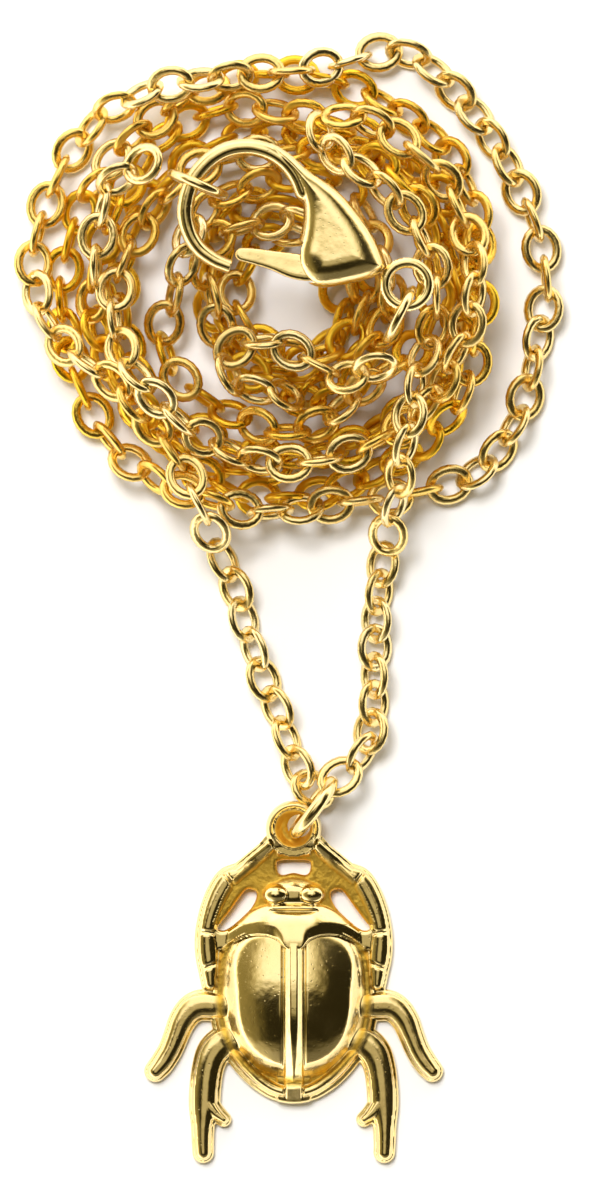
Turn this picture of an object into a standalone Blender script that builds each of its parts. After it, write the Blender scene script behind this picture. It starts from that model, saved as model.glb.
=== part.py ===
"""A gold-plated scarab pendant on its cable chain, lying face up with the chain heaped beside it.

All sizes are in millimetres and turned to metres as each mesh is made. The origin is the middle of
the scarab's flat back, +Z comes out of its face, and +Y points to its head and on to the chain.
"""
import math

import bmesh
import bpy
import numpy as np
from mathutils import Vector

MM = 0.001

# Scarab casting
RELIEF_CELL = 0.19           # spacing of the places where the casting's relief is worked out
SCARAB_FACES = 4250          # most triangles after thinning
PLATE_MARGIN = 0.21          # flat flange round legs and abdomen
PLATE_THICKNESS = 0.60
PLATE_EDGE = 0.26            # rounding of the flange's edge
LEG_RISE = 0.58
LEG_WALL_SHARE = 0.62        # part of a leg's rise that is its steep foot
CREASE_DEPTH = 0.15
CREASE_WIDTH = 0.12
GROOVE_HEIGHT = 0.85
RIM_RISE = 0.50
RIM_INSET = 0.44
RIM_HALF_WIDTH = 0.34
DOME_BAND_SLOPE = 1.15       # steepness of the wing cases' border
DOME_TOP = 2.70
DOME_SUMMIT = 0.40           # how far forward the wing cases are highest
DOME_FALL_ACROSS = 0.076     # how fast they fall away, for each square millimetre
DOME_FALL_FRONT = 0.045
DOME_FALL_REAR = 0.068
SUTURE_DEPTH = 0.12
RIDGE_HALF_WIDTH = 0.55
RIDGE_CREST = 0.20
RIDGE_PROUD = 0.32           # how far the ridge stands above the wing cases beside it
TONGUE_HEIGHT = 1.60
TONGUE_FALL = 0.70
PRONOTUM_FRONT = 1.35
PRONOTUM_RISE = 1.12
PRONOTUM_DEPTH = 2.60        # from its front edge to its highest line
PRONOTUM_LIP = 0.30          # fall of its lobes to their rear edge
PRONOTUM_LIP_DEPTH = 0.80
PRONOTUM_SIDE_FALL = 0.075   # how fast it falls to its ends, for each square millimetre
HEAD_HEIGHT = 1.55
EYE_RISE = 0.42              # of an eye above the head
EYE_REACH = (0.78, 0.60)     # half breadth and half length of an eye
EYE_PLACE = (1.05, 6.74)
WEB_HEIGHT = 0.95
THINNEST = 0.20
GRID_MARGIN = 0.15           # empty cells kept round a relief's outline

# Eye of the bail
BAIL_TOP = 12.18             # from the origin to the end of the bail
BAIL_RADIUS = 1.62
EYE_CENTRE = (0.0, BAIL_TOP - BAIL_RADIUS)
BAIL_RIM = 0.52
BAIL_THICKNESS = 0.85
BAIL_LIFT = 0.95             # its underside stands this far above the flat back
BAIL_DISH = 0.55
ARM_CLIMB = 0.55             # how far the front legs rise to the bail
BORE_RADIUS = 0.66
BORE_CENTRE = (0.30, 10.72)

# Bail's jump ring
RING_DIAMETER = 4.35
RING_WIRE = 0.75
RING_SEGMENTS = 16
RING_SIDES = 8
RING_HEADING = 54.0
RING_LEAN = -4.0
RING_OFFSET = (1.16, 11.82)

# Chain
LINK_LENGTH = 2.85
LINK_WIDTH = 2.40
LINK_WIRE = 0.44
LINK_PITCH = 1.75
LINK_SEGMENTS = 8
LINK_SIDES = 4
STRAND_ROLL = 45.0
LAY_GAP = 0.045              # between a strand and what it lies on
LINK_REACH = 0.5 * (LINK_WIDTH - LINK_WIRE) * math.sin(math.radians(STRAND_ROLL)) + 0.5 * LINK_WIRE
STRAND_LIFT = LINK_REACH + LAY_GAP   # height of the links' middles on the floor
STRAND_RISE = 0.19           # how much higher the first link by the jump ring lies
HEAP_WAIST = 0.65            # part of a link's reach that is left between its wide corners
HEAP_NEST = 0.985            # part of its full height that a strand adds where it lies on another
HEAP_LAYER = HEAP_NEST * 2 * LINK_REACH
HEAP_SLOPE = 0.60
END_STATIONS_LEFT = 5        # links at the end that hang up to the clasp
END_STATIONS_RIGHT = 9
END_DROP = 0.60
LAST_LAID = 5000             # order number above which a station belongs to an end
HEAP_CENTRE = (-0.5, 41.6)

# Clasp
CLASP_CELL = 0.15
CLASP_FACES = 850            # most triangles of its body after thinning
LEVER_FACES = 180
SLOT_FACES = 120
CLASP_THICKNESS = 2.30
CLASP_SHOULDER = 1.70        # breadth over which the body swells to its full thickness
NECK_SHOULDER = 0.50         # the same where the body leaves the hook
CLASP_EDGE = 0.12            # half thickness left at the outline
HOOK_THICKNESS = 0.92
TAIL_LOOP_RADIUS = 1.25
TAIL_LOOP_WIRE = 0.60
LEVER_THICKNESS = 0.90
LEVER_TILT = 0.05            # fall of the lever's faces across it
LEVER_CLEARANCE = 0.10
LEVER_OPENING = 25.0
PIN_RADIUS = 0.25
PIN_CLEARANCE = 0.08
SMALL_RING_DIAMETER = 3.75
SMALL_RING_WIRE = 0.55
SMALL_RING_SEGMENTS = 12
SMALL_RING_SIDES = 6
PIN_SIDES = 16
REST_GAP = 0.06              # between the clasp and what it lies on

# Outlines of the right half, x from the middle line and y toward the head
MIDDLE_LEG = [(4.0, 0.22, 0.62), (4.75, 0.30, 0.70), (5.45, 0.30, 0.70), (6.00, 0.02, 0.66),
              (6.47, -0.60, 0.60), (6.80, -1.40, 0.54), (7.15, -2.25, 0.51), (7.60, -3.00, 0.50),
              (8.02, -3.50, 0.44)]
HIND_LEG = [(3.30, -1.75, 0.60), (3.95, -1.80, 0.78), (4.60, -2.35, 0.80), (4.95, -3.20, 0.74),
            (5.12, -4.35, 0.72), (5.18, -5.45, 0.70), (5.26, -6.60, 0.50), (5.27, -7.60, 0.44),
            (5.25, -8.22, 0.42)]
SPUR = [(5.05, -5.35, 0.50), (4.55, -5.90, 0.36), (4.06, -6.30, 0.24)]
FRONT_LEG = [(3.36, 7.86, 0.46), (3.85, 7.52, 0.56), (4.31, 6.80, 0.56), (4.69, 5.95, 0.52),
             (4.95, 5.05, 0.48), (5.02, 4.15, 0.52), (4.95, 3.20, 0.55), (4.88, 2.35, 0.45),
             (4.82, 1.55, 0.34)]
SHIN = [(3.70, 7.60, 0.40), (2.95, 8.12, 0.40), (2.22, 8.72, 0.40), (1.62, 9.25, 0.38),
        (1.28, 9.70, 0.34)]
PRONOTUM = [(-4.83, 4.10), (-4.31, 4.58), (-3.50, 5.12), (-2.60, 5.70), (-1.50, 6.18), (0.0, 6.34),
            (1.50, 6.18), (2.60, 5.70), (3.50, 5.12), (4.31, 4.58), (4.83, 4.10), (4.60, 3.62),
            (3.60, 3.98), (2.57, 4.38), (1.64, 4.40), (0.95, 4.15), (0.40, 3.62), (-0.40, 3.62),
            (-0.95, 4.15), (-1.64, 4.40), (-2.57, 4.38), (-3.60, 3.98), (-4.60, 3.62)]
ABDOMEN = [(0.0, 5.0), (2.60, 4.60), (4.15, 3.60), (4.58, 2.30), (4.70, 0.60), (4.52, -1.05),
           (3.94, -2.40), (3.12, -3.52), (2.20, -4.38), (1.15, -4.98), (0.0, -5.18),
           (-1.15, -4.98), (-2.20, -4.38), (-3.12, -3.52), (-3.94, -2.40), (-4.52, -1.05),
           (-4.70, 0.60), (-4.58, 2.30), (-4.15, 3.60), (-2.60, 4.60)]
HEAD = [(0.0, 7.84), (0.72, 7.72), (1.12, 7.50), (1.50, 7.34), (1.66, 6.90), (1.56, 6.40),
        (1.30, 6.02), (0.0, 5.90), (-1.30, 6.02), (-1.56, 6.40), (-1.66, 6.90), (-1.50, 7.34),
        (-1.12, 7.50), (-0.72, 7.72)]
COLLAR = [(0.0, 10.0), (1.0, 9.6), (3.3, 7.9), (4.5, 5.6), (4.6, 3.6), (0.0, 3.4), (-4.6, 3.6),
          (-4.5, 5.6), (-3.3, 7.9), (-1.0, 9.6)]
TOP_WINDOW = [(-0.80, 8.70), (0.0, 8.74), (0.80, 8.70), (0.98, 8.52), (0.90, 8.02), (0.62, 7.86),
              (0.0, 7.98), (-0.62, 7.86), (-0.90, 8.02), (-0.98, 8.52)]
SIDE_WINDOW = [(2.20, 6.92), (2.66, 7.04), (3.00, 6.74), (3.56, 5.95), (4.12, 5.22), (4.40, 4.78),
               (4.02, 4.66), (3.40, 5.05), (2.86, 5.52), (2.42, 6.00), (2.18, 6.50)]
WING_CASE = {"middle": 0.70, "half_width": 4.15, "front": 4.60, "rear": 4.66,
             "front_power": 3.0, "rear_power": 2.2}

# Creases across the front legs: middle, direction, half length
LEG_CREASES = [(3.75, 7.62, 0.95, 0.80), (4.95, 4.55, 0.10, 0.85), (4.88, 2.60, -0.35, 0.60)]

# Routes of the chain, x and y, from the jump ring outward
LEFT_STRAND = [(0.25, 14.10), (-0.42, 15.80), (-1.00, 17.65), (-1.72, 19.15), (-2.33, 21.10),
               (-2.94, 22.78), (-3.42, 24.70), (-4.10, 26.10)]
LEFT_ENTRY = [(-4.80, 27.70), (-5.50, 29.35), (-6.35, 31.30), (-7.60, 33.15), (-8.85, 34.75),
              (-9.85, 35.90), (-11.30, 37.00), (-12.95, 38.20), (-14.25, 39.90)]
OUTER_TURN = [(-15.05, 43.00), (-14.50, 46.10), (-13.20, 49.20), (-10.90, 51.90), (-7.50, 53.40),
              (-3.00, 54.10), (1.80, 54.60), (6.00, 55.60), (9.00, 53.60), (11.80, 50.00),
              (13.60, 46.40), (14.60, 42.50), (14.00, 38.20), (12.90, 34.20), (10.60, 31.20),
              (6.80, 29.95), (2.40, 29.35), (-2.00, 28.90), (-5.40, 29.80), (-9.00, 31.40),
              (-11.20, 33.80), (-12.70, 37.00)]
LEFT_END = [(-11.30, 44.90), (-10.90, 46.80), (-9.80, 48.40), (-8.68, 48.85)]
RIGHT_STRAND = [(4.45, 16.20), (4.66, 18.20), (4.68, 20.25), (4.74, 22.10), (4.92, 24.05),
                (5.15, 25.85)]
RIGHT_ENTRY = [(5.45, 27.55), (5.80, 29.20), (6.10, 30.90), (6.45, 32.90), (6.75, 35.00),
               (7.30, 37.20), (8.00, 39.30), (8.20, 41.50), (7.60, 44.20), (6.00, 46.60),
               (3.80, 48.60), (1.60, 50.10), (2.20, 51.60), (4.60, 51.30), (7.60, 49.10),
               (9.80, 45.80), (10.40, 41.80), (9.40, 38.10)]
RIGHT_END = [(-3.00, 36.20), (-3.90, 37.40), (-3.00, 38.60), (-1.20, 38.60), (0.60, 37.80),
             (2.20, 36.90), (3.60, 36.60), (4.66, 37.17)]

# Coils of the heap: turns, last radius, squash, drift of the middle, waviness, phase
LEFT_COILS = [(2.06, 9.20, 0.99, (-0.3, 0.0), 0.45, 0.4), (1.00, 10.90, 0.97, (0.0, 0.0), 0.60, 1.1)]
RIGHT_COILS = [(3.40, 3.00, 0.95, (0.5, -0.4), 0.60, 2.0), (1.82, 6.00, 0.96, (0.0, 0.0), 0.45, 0.7)]

# Links next to the jump ring: place, then heading, roll and pitch in radians
RING_LINKS = {"chain_link_left_01": ((1.103, 12.832, 0.731), 2.708, 0.465, 0.192),
              "chain_link_right_01": ((2.672, 13.578, 1.923), 0.651, -0.414, -0.197),
              "chain_link_right_02": ((3.953, 14.932, 1.516), -2.158, -0.943, 0.0)}

# Clasp seen from above
HOOK = [(0.54, 47.21, 0.50), (0.13, 48.14, 0.50), (-0.56, 48.95, 0.48), (-1.49, 49.53, 0.48),
        (-2.65, 49.79, 0.48), (-3.87, 49.59, 0.48), (-4.97, 48.89, 0.48), (-5.84, 47.73, 0.48),
        (-6.22, 46.23, 0.48), (-6.01, 44.95, 0.47), (-5.43, 43.96, 0.46), (-4.62, 43.33, 0.44),
        (-3.95, 43.03, 0.42), (-3.40, 42.84, 0.42)]
NOSE = (-3.62, 42.92, -0.33)  # where the hook's end is cut off, and the heading of the cut's normal
CLASP_BODY = [(-1.33, 50.00), (-0.97, 49.06), (-0.14, 48.17), (0.39, 47.11), (0.57, 46.17),
              (0.45, 44.98), (0.15, 43.80), (0.27, 42.85), (0.81, 42.02), (1.63, 41.73),
              (2.93, 41.90), (4.47, 42.26), (5.12, 42.73), (5.18, 43.20), (4.59, 44.63),
              (3.64, 46.05), (2.34, 47.41), (0.80, 48.47), (-0.26, 49.42)]
CLASP_NECK = (-1.0, 49.5)    # where the body starts to swell, and where it is full
CLASP_HEEL = (2.9, 42.6)
TAIL_LOOP_CENTRE = (6.50, 41.90)
LEVER = [(-2.98, 43.62, 0.38), (-2.39, 43.53, 0.45), (-1.21, 43.28, 0.55), (-0.02, 42.96, 0.72),
         (0.80, 42.82, 0.72), (1.42, 42.80, 0.62)]
PIVOT = (1.42, 42.80)
END_RING_PLACE = (-5.50, 47.66)
END_RING_HEADING = 157.5
TAIL_RING_PLACE = (6.08, 40.17)
TAIL_RING_HEADING = 63.0

GOLD = (1.0, 0.74, 0.32)


def clear_scene():
    for item in list(bpy.data.objects):
        bpy.data.objects.remove(item, do_unlink=True)


def gold_material(name, colour, roughness):
    material = bpy.data.materials.new(name)
    material.use_nodes = True
    shader = material.node_tree.nodes["Principled BSDF"]
    shader.inputs["Base Color"].default_value = (*colour, 1.0)
    shader.inputs["Metallic"].default_value = 1.0
    shader.inputs["Roughness"].default_value = roughness
    return material


def object_from_bmesh(name, shape, material):
    bmesh.ops.recalc_face_normals(shape, faces=shape.faces)
    mesh = bpy.data.meshes.new(name)
    shape.to_mesh(mesh)
    shape.free()
    mesh.materials.append(material)
    made = bpy.data.objects.new(name, mesh)
    bpy.context.collection.objects.link(made)
    return made


def smooth_curve(points, steps, closed=False):
    """Points along a Catmull-Rom curve through the given points, of any number of columns."""
    knots = np.array(points, dtype=float)
    if closed:
        knots = np.vstack([knots[-1:], knots, knots[:2]])
    else:
        knots = np.vstack([2 * knots[0] - knots[1], knots, 2 * knots[-1] - knots[-2]])
    share = np.linspace(0.0, 1.0, steps, endpoint=False)[:, None]
    spans = []
    for before, start, end, after in zip(knots[:-3], knots[1:-2], knots[2:-1], knots[3:]):
        spans.append(0.5 * (2 * start + (end - before) * share
                            + (2 * before - 5 * start + 4 * end - after) * share ** 2
                            + (3 * start - before - 3 * end + after) * share ** 3))
    if not closed:
        spans.append(knots[-2:-1])
    return np.vstack(spans)


def even_points(curve, spacing):
    """Points at an even spacing along a curve, its two ends kept."""
    lengths = np.linalg.norm(np.diff(curve, axis=0), axis=1)
    along = np.concatenate([[0.0], np.cumsum(lengths)])
    count = max(2, round(along[-1] / spacing) + 1)
    places = np.linspace(0.0, along[-1], count)
    return np.column_stack([np.interp(places, along, column) for column in curve.T])


def spaced(low, high, cell):
    """Grid places from low to high, about a cell apart."""
    return np.linspace(low, high, max(2, round((high - low) / cell)))


def ramp(value, low, high):
    """0 below low, 1 above high, and a smooth step between."""
    share = np.clip((value - low) / (high - low), 0.0, 1.0)
    return share * share * (3.0 - 2.0 * share)


def round_profile(share):
    """Quarter circle: 0 at share 0, 1 at share 1."""
    return np.sqrt(np.clip(1.0 - (1.0 - np.clip(share, 0.0, 1.0)) ** 2, 0.0, 1.0))


def soft_max(first, second, blend):
    return 0.5 * (first + second + np.sqrt((first - second) ** 2 + blend ** 2))


def outline_distance(x, y, outline):
    """Distance to a closed outline, negative inside it."""
    best = np.full(x.shape, 1e9)
    inside = np.zeros(x.shape, dtype=bool)
    for (px, py), (qx, qy) in zip(outline, np.roll(outline, -1, axis=0)):
        dx, dy = qx - px, qy - py
        share = np.clip(((x - px) * dx + (y - py) * dy) / (dx * dx + dy * dy), 0.0, 1.0)
        best = np.minimum(best, np.hypot(x - px - share * dx, y - py - share * dy))
        crossed = (py > y) != (qy > y)
        if abs(dy) > 1e-12:
            inside ^= crossed & (x < px + dx * (y - py) / dy)
    return np.where(inside, -best, best)


def limb_distance(x, y, path):
    """Distance to a tapering limb, and how far out across its half width a point lies."""
    best = np.full(x.shape, 1e9)
    across = np.full(x.shape, 1e9)
    for (px, py, start), (qx, qy, end) in zip(path[:-1], path[1:]):
        dx, dy = qx - px, qy - py
        share = np.clip(((x - px) * dx + (y - py) * dy) / (dx * dx + dy * dy), 0.0, 1.0)
        away = np.hypot(x - px - share * dx, y - py - share * dy)
        half = np.maximum(start + (end - start) * share, 1e-6)
        nearer = away - half < best
        best = np.where(nearer, away - half, best)
        across = np.where(nearer, away / half, across)
    return best, across


def wing_case_distance(x, y):
    """Distance to the egg-shaped outline that both wing cases share, negative inside it."""
    up = y - WING_CASE["middle"]
    front = up > 0
    reach = np.where(front, WING_CASE["front"], WING_CASE["rear"])
    power = np.where(front, WING_CASE["front_power"], WING_CASE["rear_power"])
    wide = np.maximum(np.abs(x), 1e-6) / WING_CASE["half_width"]
    long = np.maximum(np.abs(up), 1e-6) / reach
    level = (wide ** power + long ** power) ** (1.0 / power)
    slope = level ** (1.0 - power) * np.hypot(wide ** (power - 1.0) / WING_CASE["half_width"],
                                              long ** (power - 1.0) / reach)
    return (level - 1.0) / np.maximum(slope, 1e-6)


def crown_height(x, y):
    """The shell that both wing cases are cut from."""
    along = np.where(y > DOME_SUMMIT, DOME_FALL_FRONT, DOME_FALL_REAR)
    return DOME_TOP - DOME_FALL_ACROSS * x ** 2 - along * (y - DOME_SUMMIT) ** 2


def dome_height(x, y):
    """Height of the wing cases: a steep border, the crowned shell, and a suture by the ridge."""
    border = GROOVE_HEIGHT - DOME_BAND_SLOPE * wing_case_distance(x, y)
    crown = crown_height(x, y)
    crown = crown - SUTURE_DEPTH * np.exp(-((np.abs(x) - RIDGE_HALF_WIDTH - 0.05) / 0.09) ** 2)
    return -soft_max(-border, -crown, 0.10)


class ScarabRelief:
    """Outline, face and underside of the casting at any x and y."""

    def __init__(self):
        self.limbs = [smooth_curve(path, 5) for path in (MIDDLE_LEG, HIND_LEG, SPUR, FRONT_LEG, SHIN)]
        self.abdomen = smooth_curve(ABDOMEN, 5, closed=True)
        self.pronotum = smooth_curve(PRONOTUM, 5, closed=True)
        self.front_edge = [(x, y, 0.0) for x, y in smooth_curve(PRONOTUM[:11], 4)]
        self.rear_edge = [(x, y, 0.0) for x, y in smooth_curve(PRONOTUM[11:], 4)]
        self.head = smooth_curve(HEAD, 5, closed=True)
        self.collar = smooth_curve(COLLAR, 4, closed=True)
        self.top_window = smooth_curve(TOP_WINDOW, 5, closed=True)
        self.side_window = smooth_curve(SIDE_WINDOW, 5, closed=True)

    def box(self):
        """Lowest and highest x and y that the outline reaches."""
        limbs = np.vstack(self.limbs)
        wide = (limbs[:, 0] + limbs[:, 2]).max() + PLATE_MARGIN
        return -wide, wide, (limbs[:, 1] - limbs[:, 2]).min() - PLATE_MARGIN, BAIL_TOP

    def edge(self, x, y):
        """Distance to the whole casting's outline, negative on the metal."""
        side = np.abs(x)
        metal = np.minimum(outline_distance(side, y, self.abdomen),
                           outline_distance(side, y, self.pronotum))
        for limb in self.limbs:
            metal = np.minimum(metal, limb_distance(side, y, limb)[0])
        metal = np.minimum(metal - PLATE_MARGIN, outline_distance(side, y, self.collar))
        metal = np.minimum(metal, np.hypot(x - EYE_CENTRE[0], y - EYE_CENTRE[1]) - BAIL_RADIUS)
        bore = BORE_RADIUS - np.hypot(x - BORE_CENTRE[0], y - BORE_CENTRE[1])
        openings = np.maximum(bore, -outline_distance(x, y, self.top_window))
        openings = np.maximum(openings, -outline_distance(side, y, self.side_window))
        return np.maximum(metal, openings)

    def face(self, x, y):
        """Height of the front above the back."""
        side = np.abs(x)
        height = np.full(x.shape, PLATE_THICKNESS)
        for limb in self.limbs:
            height = np.maximum(height, PLATE_THICKNESS + self.leg_height(side, y, limb))
        height = height - self.creases(side, y) * (height > PLATE_THICKNESS + 0.1)
        height = height + ARM_CLIMB * ramp(y, 8.4, 9.8)
        body = outline_distance(side, y, self.abdomen)
        floor = PLATE_THICKNESS + (GROOVE_HEIGHT - PLATE_THICKNESS) * ramp(-body, 0.0, 0.3)
        rim = RIM_RISE * round_profile(1.0 - np.abs(-body - RIM_INSET) / RIM_HALF_WIDTH)
        rim = rim * ramp(side, 0.45, 0.60) * (1.0 - ramp(y, -2.7, -1.9))
        height = np.where(body < 0.0, soft_max(height, floor + rim, 0.05), height)
        wing = -wing_case_distance(x, y)
        height = np.where(wing > 0.0, soft_max(height, dome_height(x, y), 0.04), height)
        height = self.add_ridge(height, side, y)
        height = self.add_pronotum(height, side, x, y)
        height = self.add_head(height, side, x, y)
        height = self.add_bail(height, x, y)
        return self.round_edge(height, x, y)

    def leg_height(self, side, y, limb):
        """A steep foot, then a low crown with a narrow flat crest."""
        across = limb_distance(side, y, limb)[1]
        wall = ramp(1.0 - across, 0.0, 0.10)
        crown = 1.0 - np.clip((across - 0.12) / 0.88, 0.0, 1.0) ** 2
        rise = LEG_WALL_SHARE * wall + (1.0 - LEG_WALL_SHARE) * crown
        return np.where(across < 1.0, LEG_RISE * rise, 0.0)

    def creases(self, side, y):
        """Depth of the joints cut across the front legs."""
        depth = np.zeros(side.shape)
        for middle_x, middle_y, lean, half in LEG_CREASES:
            along_x, along_y = math.cos(lean), math.sin(lean)
            run = (side - middle_x) * along_x + (y - middle_y) * along_y
            away = (y - middle_y) * along_x - (side - middle_x) * along_y
            reach = 1.0 - ramp(np.abs(run), 0.7 * half, half)
            depth = np.maximum(depth, CREASE_DEPTH * reach * np.exp(-(away / CREASE_WIDTH) ** 2))
        return depth

    def add_ridge(self, height, side, y):
        """The ridge between the wing cases, from the pronotum down to a flat tongue on the rim."""
        tongue = TONGUE_HEIGHT - TONGUE_FALL * ramp(-y, 4.0, 5.2)
        top = soft_max(crown_height(0.0, y) + RIDGE_PROUD, tongue, 0.06)
        crest = RIDGE_CREST * np.clip((y + 4.12) / 3.2, 0.0, 1.0)
        crest = np.where(y < -4.12, RIDGE_HALF_WIDTH - 0.12, crest)
        slope = np.clip((side - crest) / (RIDGE_HALF_WIDTH - crest), 0.0, 1.0)
        ridge = top - (RIDGE_PROUD + 0.04) * slope
        ridge = np.where((side < RIDGE_HALF_WIDTH) & (y < 4.2) & (y > -5.18), ridge, 0.0)
        return np.maximum(height, ridge)

    def add_pronotum(self, height, side, x, y):
        """The shield behind the head: it climbs from its front edge and dips at its two rear lobes."""
        inside = -outline_distance(x, y, self.pronotum)
        depth = np.clip(limb_distance(side, y, self.front_edge)[0] / PRONOTUM_DEPTH, 0.0, 1.0)
        shell = PRONOTUM_FRONT + PRONOTUM_RISE * (1.0 - (1.0 - depth) ** 2)
        lip = 1.0 - ramp(limb_distance(side, y, self.rear_edge)[0], 0.0, PRONOTUM_LIP_DEPTH)
        shell = shell - PRONOTUM_LIP * lip * ramp(side, 0.45, 1.2)
        shell = shell - PRONOTUM_SIDE_FALL * np.maximum(side - 1.0, 0.0) ** 2
        shell = shell - 0.12 * (1.0 - round_profile(inside / 0.14))
        return np.where(inside > 0.0, np.maximum(height, shell), height)

    def add_head(self, height, side, x, y):
        """The web between the front legs, the head on it, its eyes and the fold behind them."""
        web = outline_distance(side, y, self.collar)
        height = np.where(web < 0.0, np.maximum(height, WEB_HEIGHT), height)
        inside = -outline_distance(x, y, self.head)
        skull = WEB_HEIGHT + (HEAD_HEIGHT - WEB_HEIGHT) * round_profile(inside / 0.75)
        skull = skull - 0.30 * ramp(y, 6.9, 7.8)
        height = np.where(inside > 0.0, np.maximum(height, skull), height)
        away = np.hypot((side - EYE_PLACE[0]) / EYE_REACH[0], (y - EYE_PLACE[1]) / EYE_REACH[1])
        dome = np.clip(1.0 - away ** 2, 0.0, 1.0)
        eye = WEB_HEIGHT + (HEAD_HEIGHT - WEB_HEIGHT) * ramp(dome, 0.0, 0.35) + EYE_RISE * dome
        height = np.where(away < 1.0, soft_max(height, eye, 0.10), height)
        fold = 0.22 * round_profile(1.0 - np.abs(y - 6.05) / 0.20) * (1.0 - ramp(side, 1.1, 1.6))
        neck = np.hypot(side / 1.2, (y - 5.78) / 0.16)
        return height + fold - 0.22 * (1.0 - ramp(neck, 0.3, 1.2))

    def add_bail(self, height, x, y):
        away = np.hypot(x - EYE_CENTRE[0], y - EYE_CENTRE[1])
        crest = BAIL_RADIUS - 0.5 * BAIL_RIM
        bulge = np.sqrt(np.clip(1.0 - ((away - crest) / (0.5 * BAIL_RIM)) ** 2, 0.0, 1.0))
        bulge = bulge * (1.0 - ramp(EYE_CENTRE[1] - y, 0.3, 1.1))
        rim = BAIL_LIFT + 0.45 * BAIL_THICKNESS + 0.55 * BAIL_THICKNESS * bulge
        dish = BAIL_LIFT + BAIL_THICKNESS - BAIL_DISH * ramp(crest - away, 0.05, 0.75)
        ring = np.where(away > crest, rim, np.minimum(rim + 9.0 * (away < crest - 0.2), dish))
        bar = WEB_HEIGHT + 0.75 * (1.0 - ramp(np.abs(y - 9.22), 0.05, 0.28))
        height = np.where((np.abs(x) < 0.95) & (away > crest), np.maximum(height, bar), height)
        return np.where(away < BAIL_RADIUS, ring, height)

    def round_edge(self, height, x, y):
        depth = np.clip(-self.edge(x, y), 0.0, PLATE_EDGE) / PLATE_EDGE
        return height - PLATE_EDGE * (1.0 - round_profile(depth))

    def underside(self, x, y):
        """Height of the underside: flat, and raised under the eye of the bail."""
        return BAIL_LIFT * ramp(y, 8.95, 9.75) * (1.0 - ramp(np.abs(x), 1.9, 2.6))


def relief_mesh(name, relief, cell, lift):
    """Closed mesh between the face and the underside, its outline cut true to the edge function."""
    low_x, high_x, low_y, high_y = relief.box()
    grid_x, grid_y = np.meshgrid(spaced(low_x - GRID_MARGIN, high_x + GRID_MARGIN, cell),
                                 spaced(low_y - GRID_MARGIN, high_y + GRID_MARGIN, cell))
    rows, columns = grid_x.shape
    edge = relief.edge(grid_x, grid_y)
    step = 0.01
    near = np.abs(edge) < 0.32 * cell
    pull_x = (relief.edge(grid_x + step, grid_y) - relief.edge(grid_x - step, grid_y)) / (2 * step)
    pull_y = (relief.edge(grid_x, grid_y + step) - relief.edge(grid_x, grid_y - step)) / (2 * step)
    grid_x = np.where(near, grid_x - edge * pull_x, grid_x)
    grid_y = np.where(near, grid_y - edge * pull_y, grid_y)
    edge = np.where(near, 0.0, edge)
    heights = relief.face(grid_x, grid_y)
    corners = {}
    cuts = {}
    places = []

    def corner(spot):
        if spot not in corners:
            corners[spot] = len(places)
            places.append((grid_x[spot], grid_y[spot]))
        return corners[spot]

    def cut(first, second):
        key = (min(first, second), max(first, second))
        if key not in cuts:
            share = edge[first] / (edge[first] - edge[second])
            cuts[key] = len(places)
            places.append((grid_x[first] + share * (grid_x[second] - grid_x[first]),
                           grid_y[first] + share * (grid_y[second] - grid_y[first])))
        return cuts[key]

    loops = []
    for row in range(rows - 1):
        for column in range(columns - 1):
            ring = [(row, column), (row, column + 1), (row + 1, column + 1), (row + 1, column)]
            if all(edge[spot] >= 0 for spot in ring):
                continue
            rising = abs(heights[ring[0]] - heights[ring[2]])
            falling = abs(heights[ring[1]] - heights[ring[3]])
            halves = [(0, 1, 2), (0, 2, 3)] if rising < falling else [(0, 1, 3), (1, 2, 3)]
            for trio in halves:
                spots = [ring[index] for index in trio]
                if all(edge[spot] >= 0 for spot in spots):
                    continue
                loop = []
                for spot, after in zip(spots, spots[1:] + spots[:1]):
                    if edge[spot] <= 0:
                        loop.append(corner(spot))
                    if edge[spot] * edge[after] < 0:
                        loop.append(cut(spot, after))
                if len(loop) > 2:
                    loops.append(loop)
    plan = np.array(places)
    bottoms = relief.underside(plan[:, 0], plan[:, 1])
    tops = np.maximum(relief.face(plan[:, 0], plan[:, 1]), bottoms + THINNEST)
    count = len(plan)
    upper = np.column_stack([plan, tops + lift])
    lower = np.column_stack([plan, bottoms + lift])
    faces = list(loops)
    faces += [[index + count for index in reversed(loop)] for loop in loops]
    sides = {(first, second) for loop in loops for first, second in zip(loop, loop[1:] + loop[:1])}
    faces += [[second, first, first + count, second + count]
              for first, second in sorted(sides) if (second, first) not in sides]
    mesh = bpy.data.meshes.new(name)
    mesh.from_pydata((np.vstack([upper, lower]) * MM).tolist(), [], faces)
    return mesh


def thinned(name, mesh, faces, material):
    """An object of the mesh with its flattest edges taken out until so many triangles are left."""
    mesh.materials.append(material)
    made = bpy.data.objects.new(name, mesh)
    bpy.context.collection.objects.link(made)
    thin = made.modifiers.new("thin", "DECIMATE")
    thin.ratio = min(1.0, faces / sum(len(face.vertices) - 2 for face in mesh.polygons))
    thin.use_collapse_triangulate = True
    bpy.context.view_layer.update()
    graph = bpy.context.evaluated_depsgraph_get()
    made.data = bpy.data.meshes.new_from_object(made.evaluated_get(graph))
    made.modifiers.clear()
    return made


def make_scarab():
    mesh = relief_mesh("scarab", ScarabRelief(), RELIEF_CELL, 0.0)
    made = thinned("scarab", mesh, SCARAB_FACES, gold_material("scarab_gold", GOLD, 0.14))
    made.data.shade_smooth()
    made.data.set_sharp_from_angle(angle=math.radians(35.0))
    return made


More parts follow.
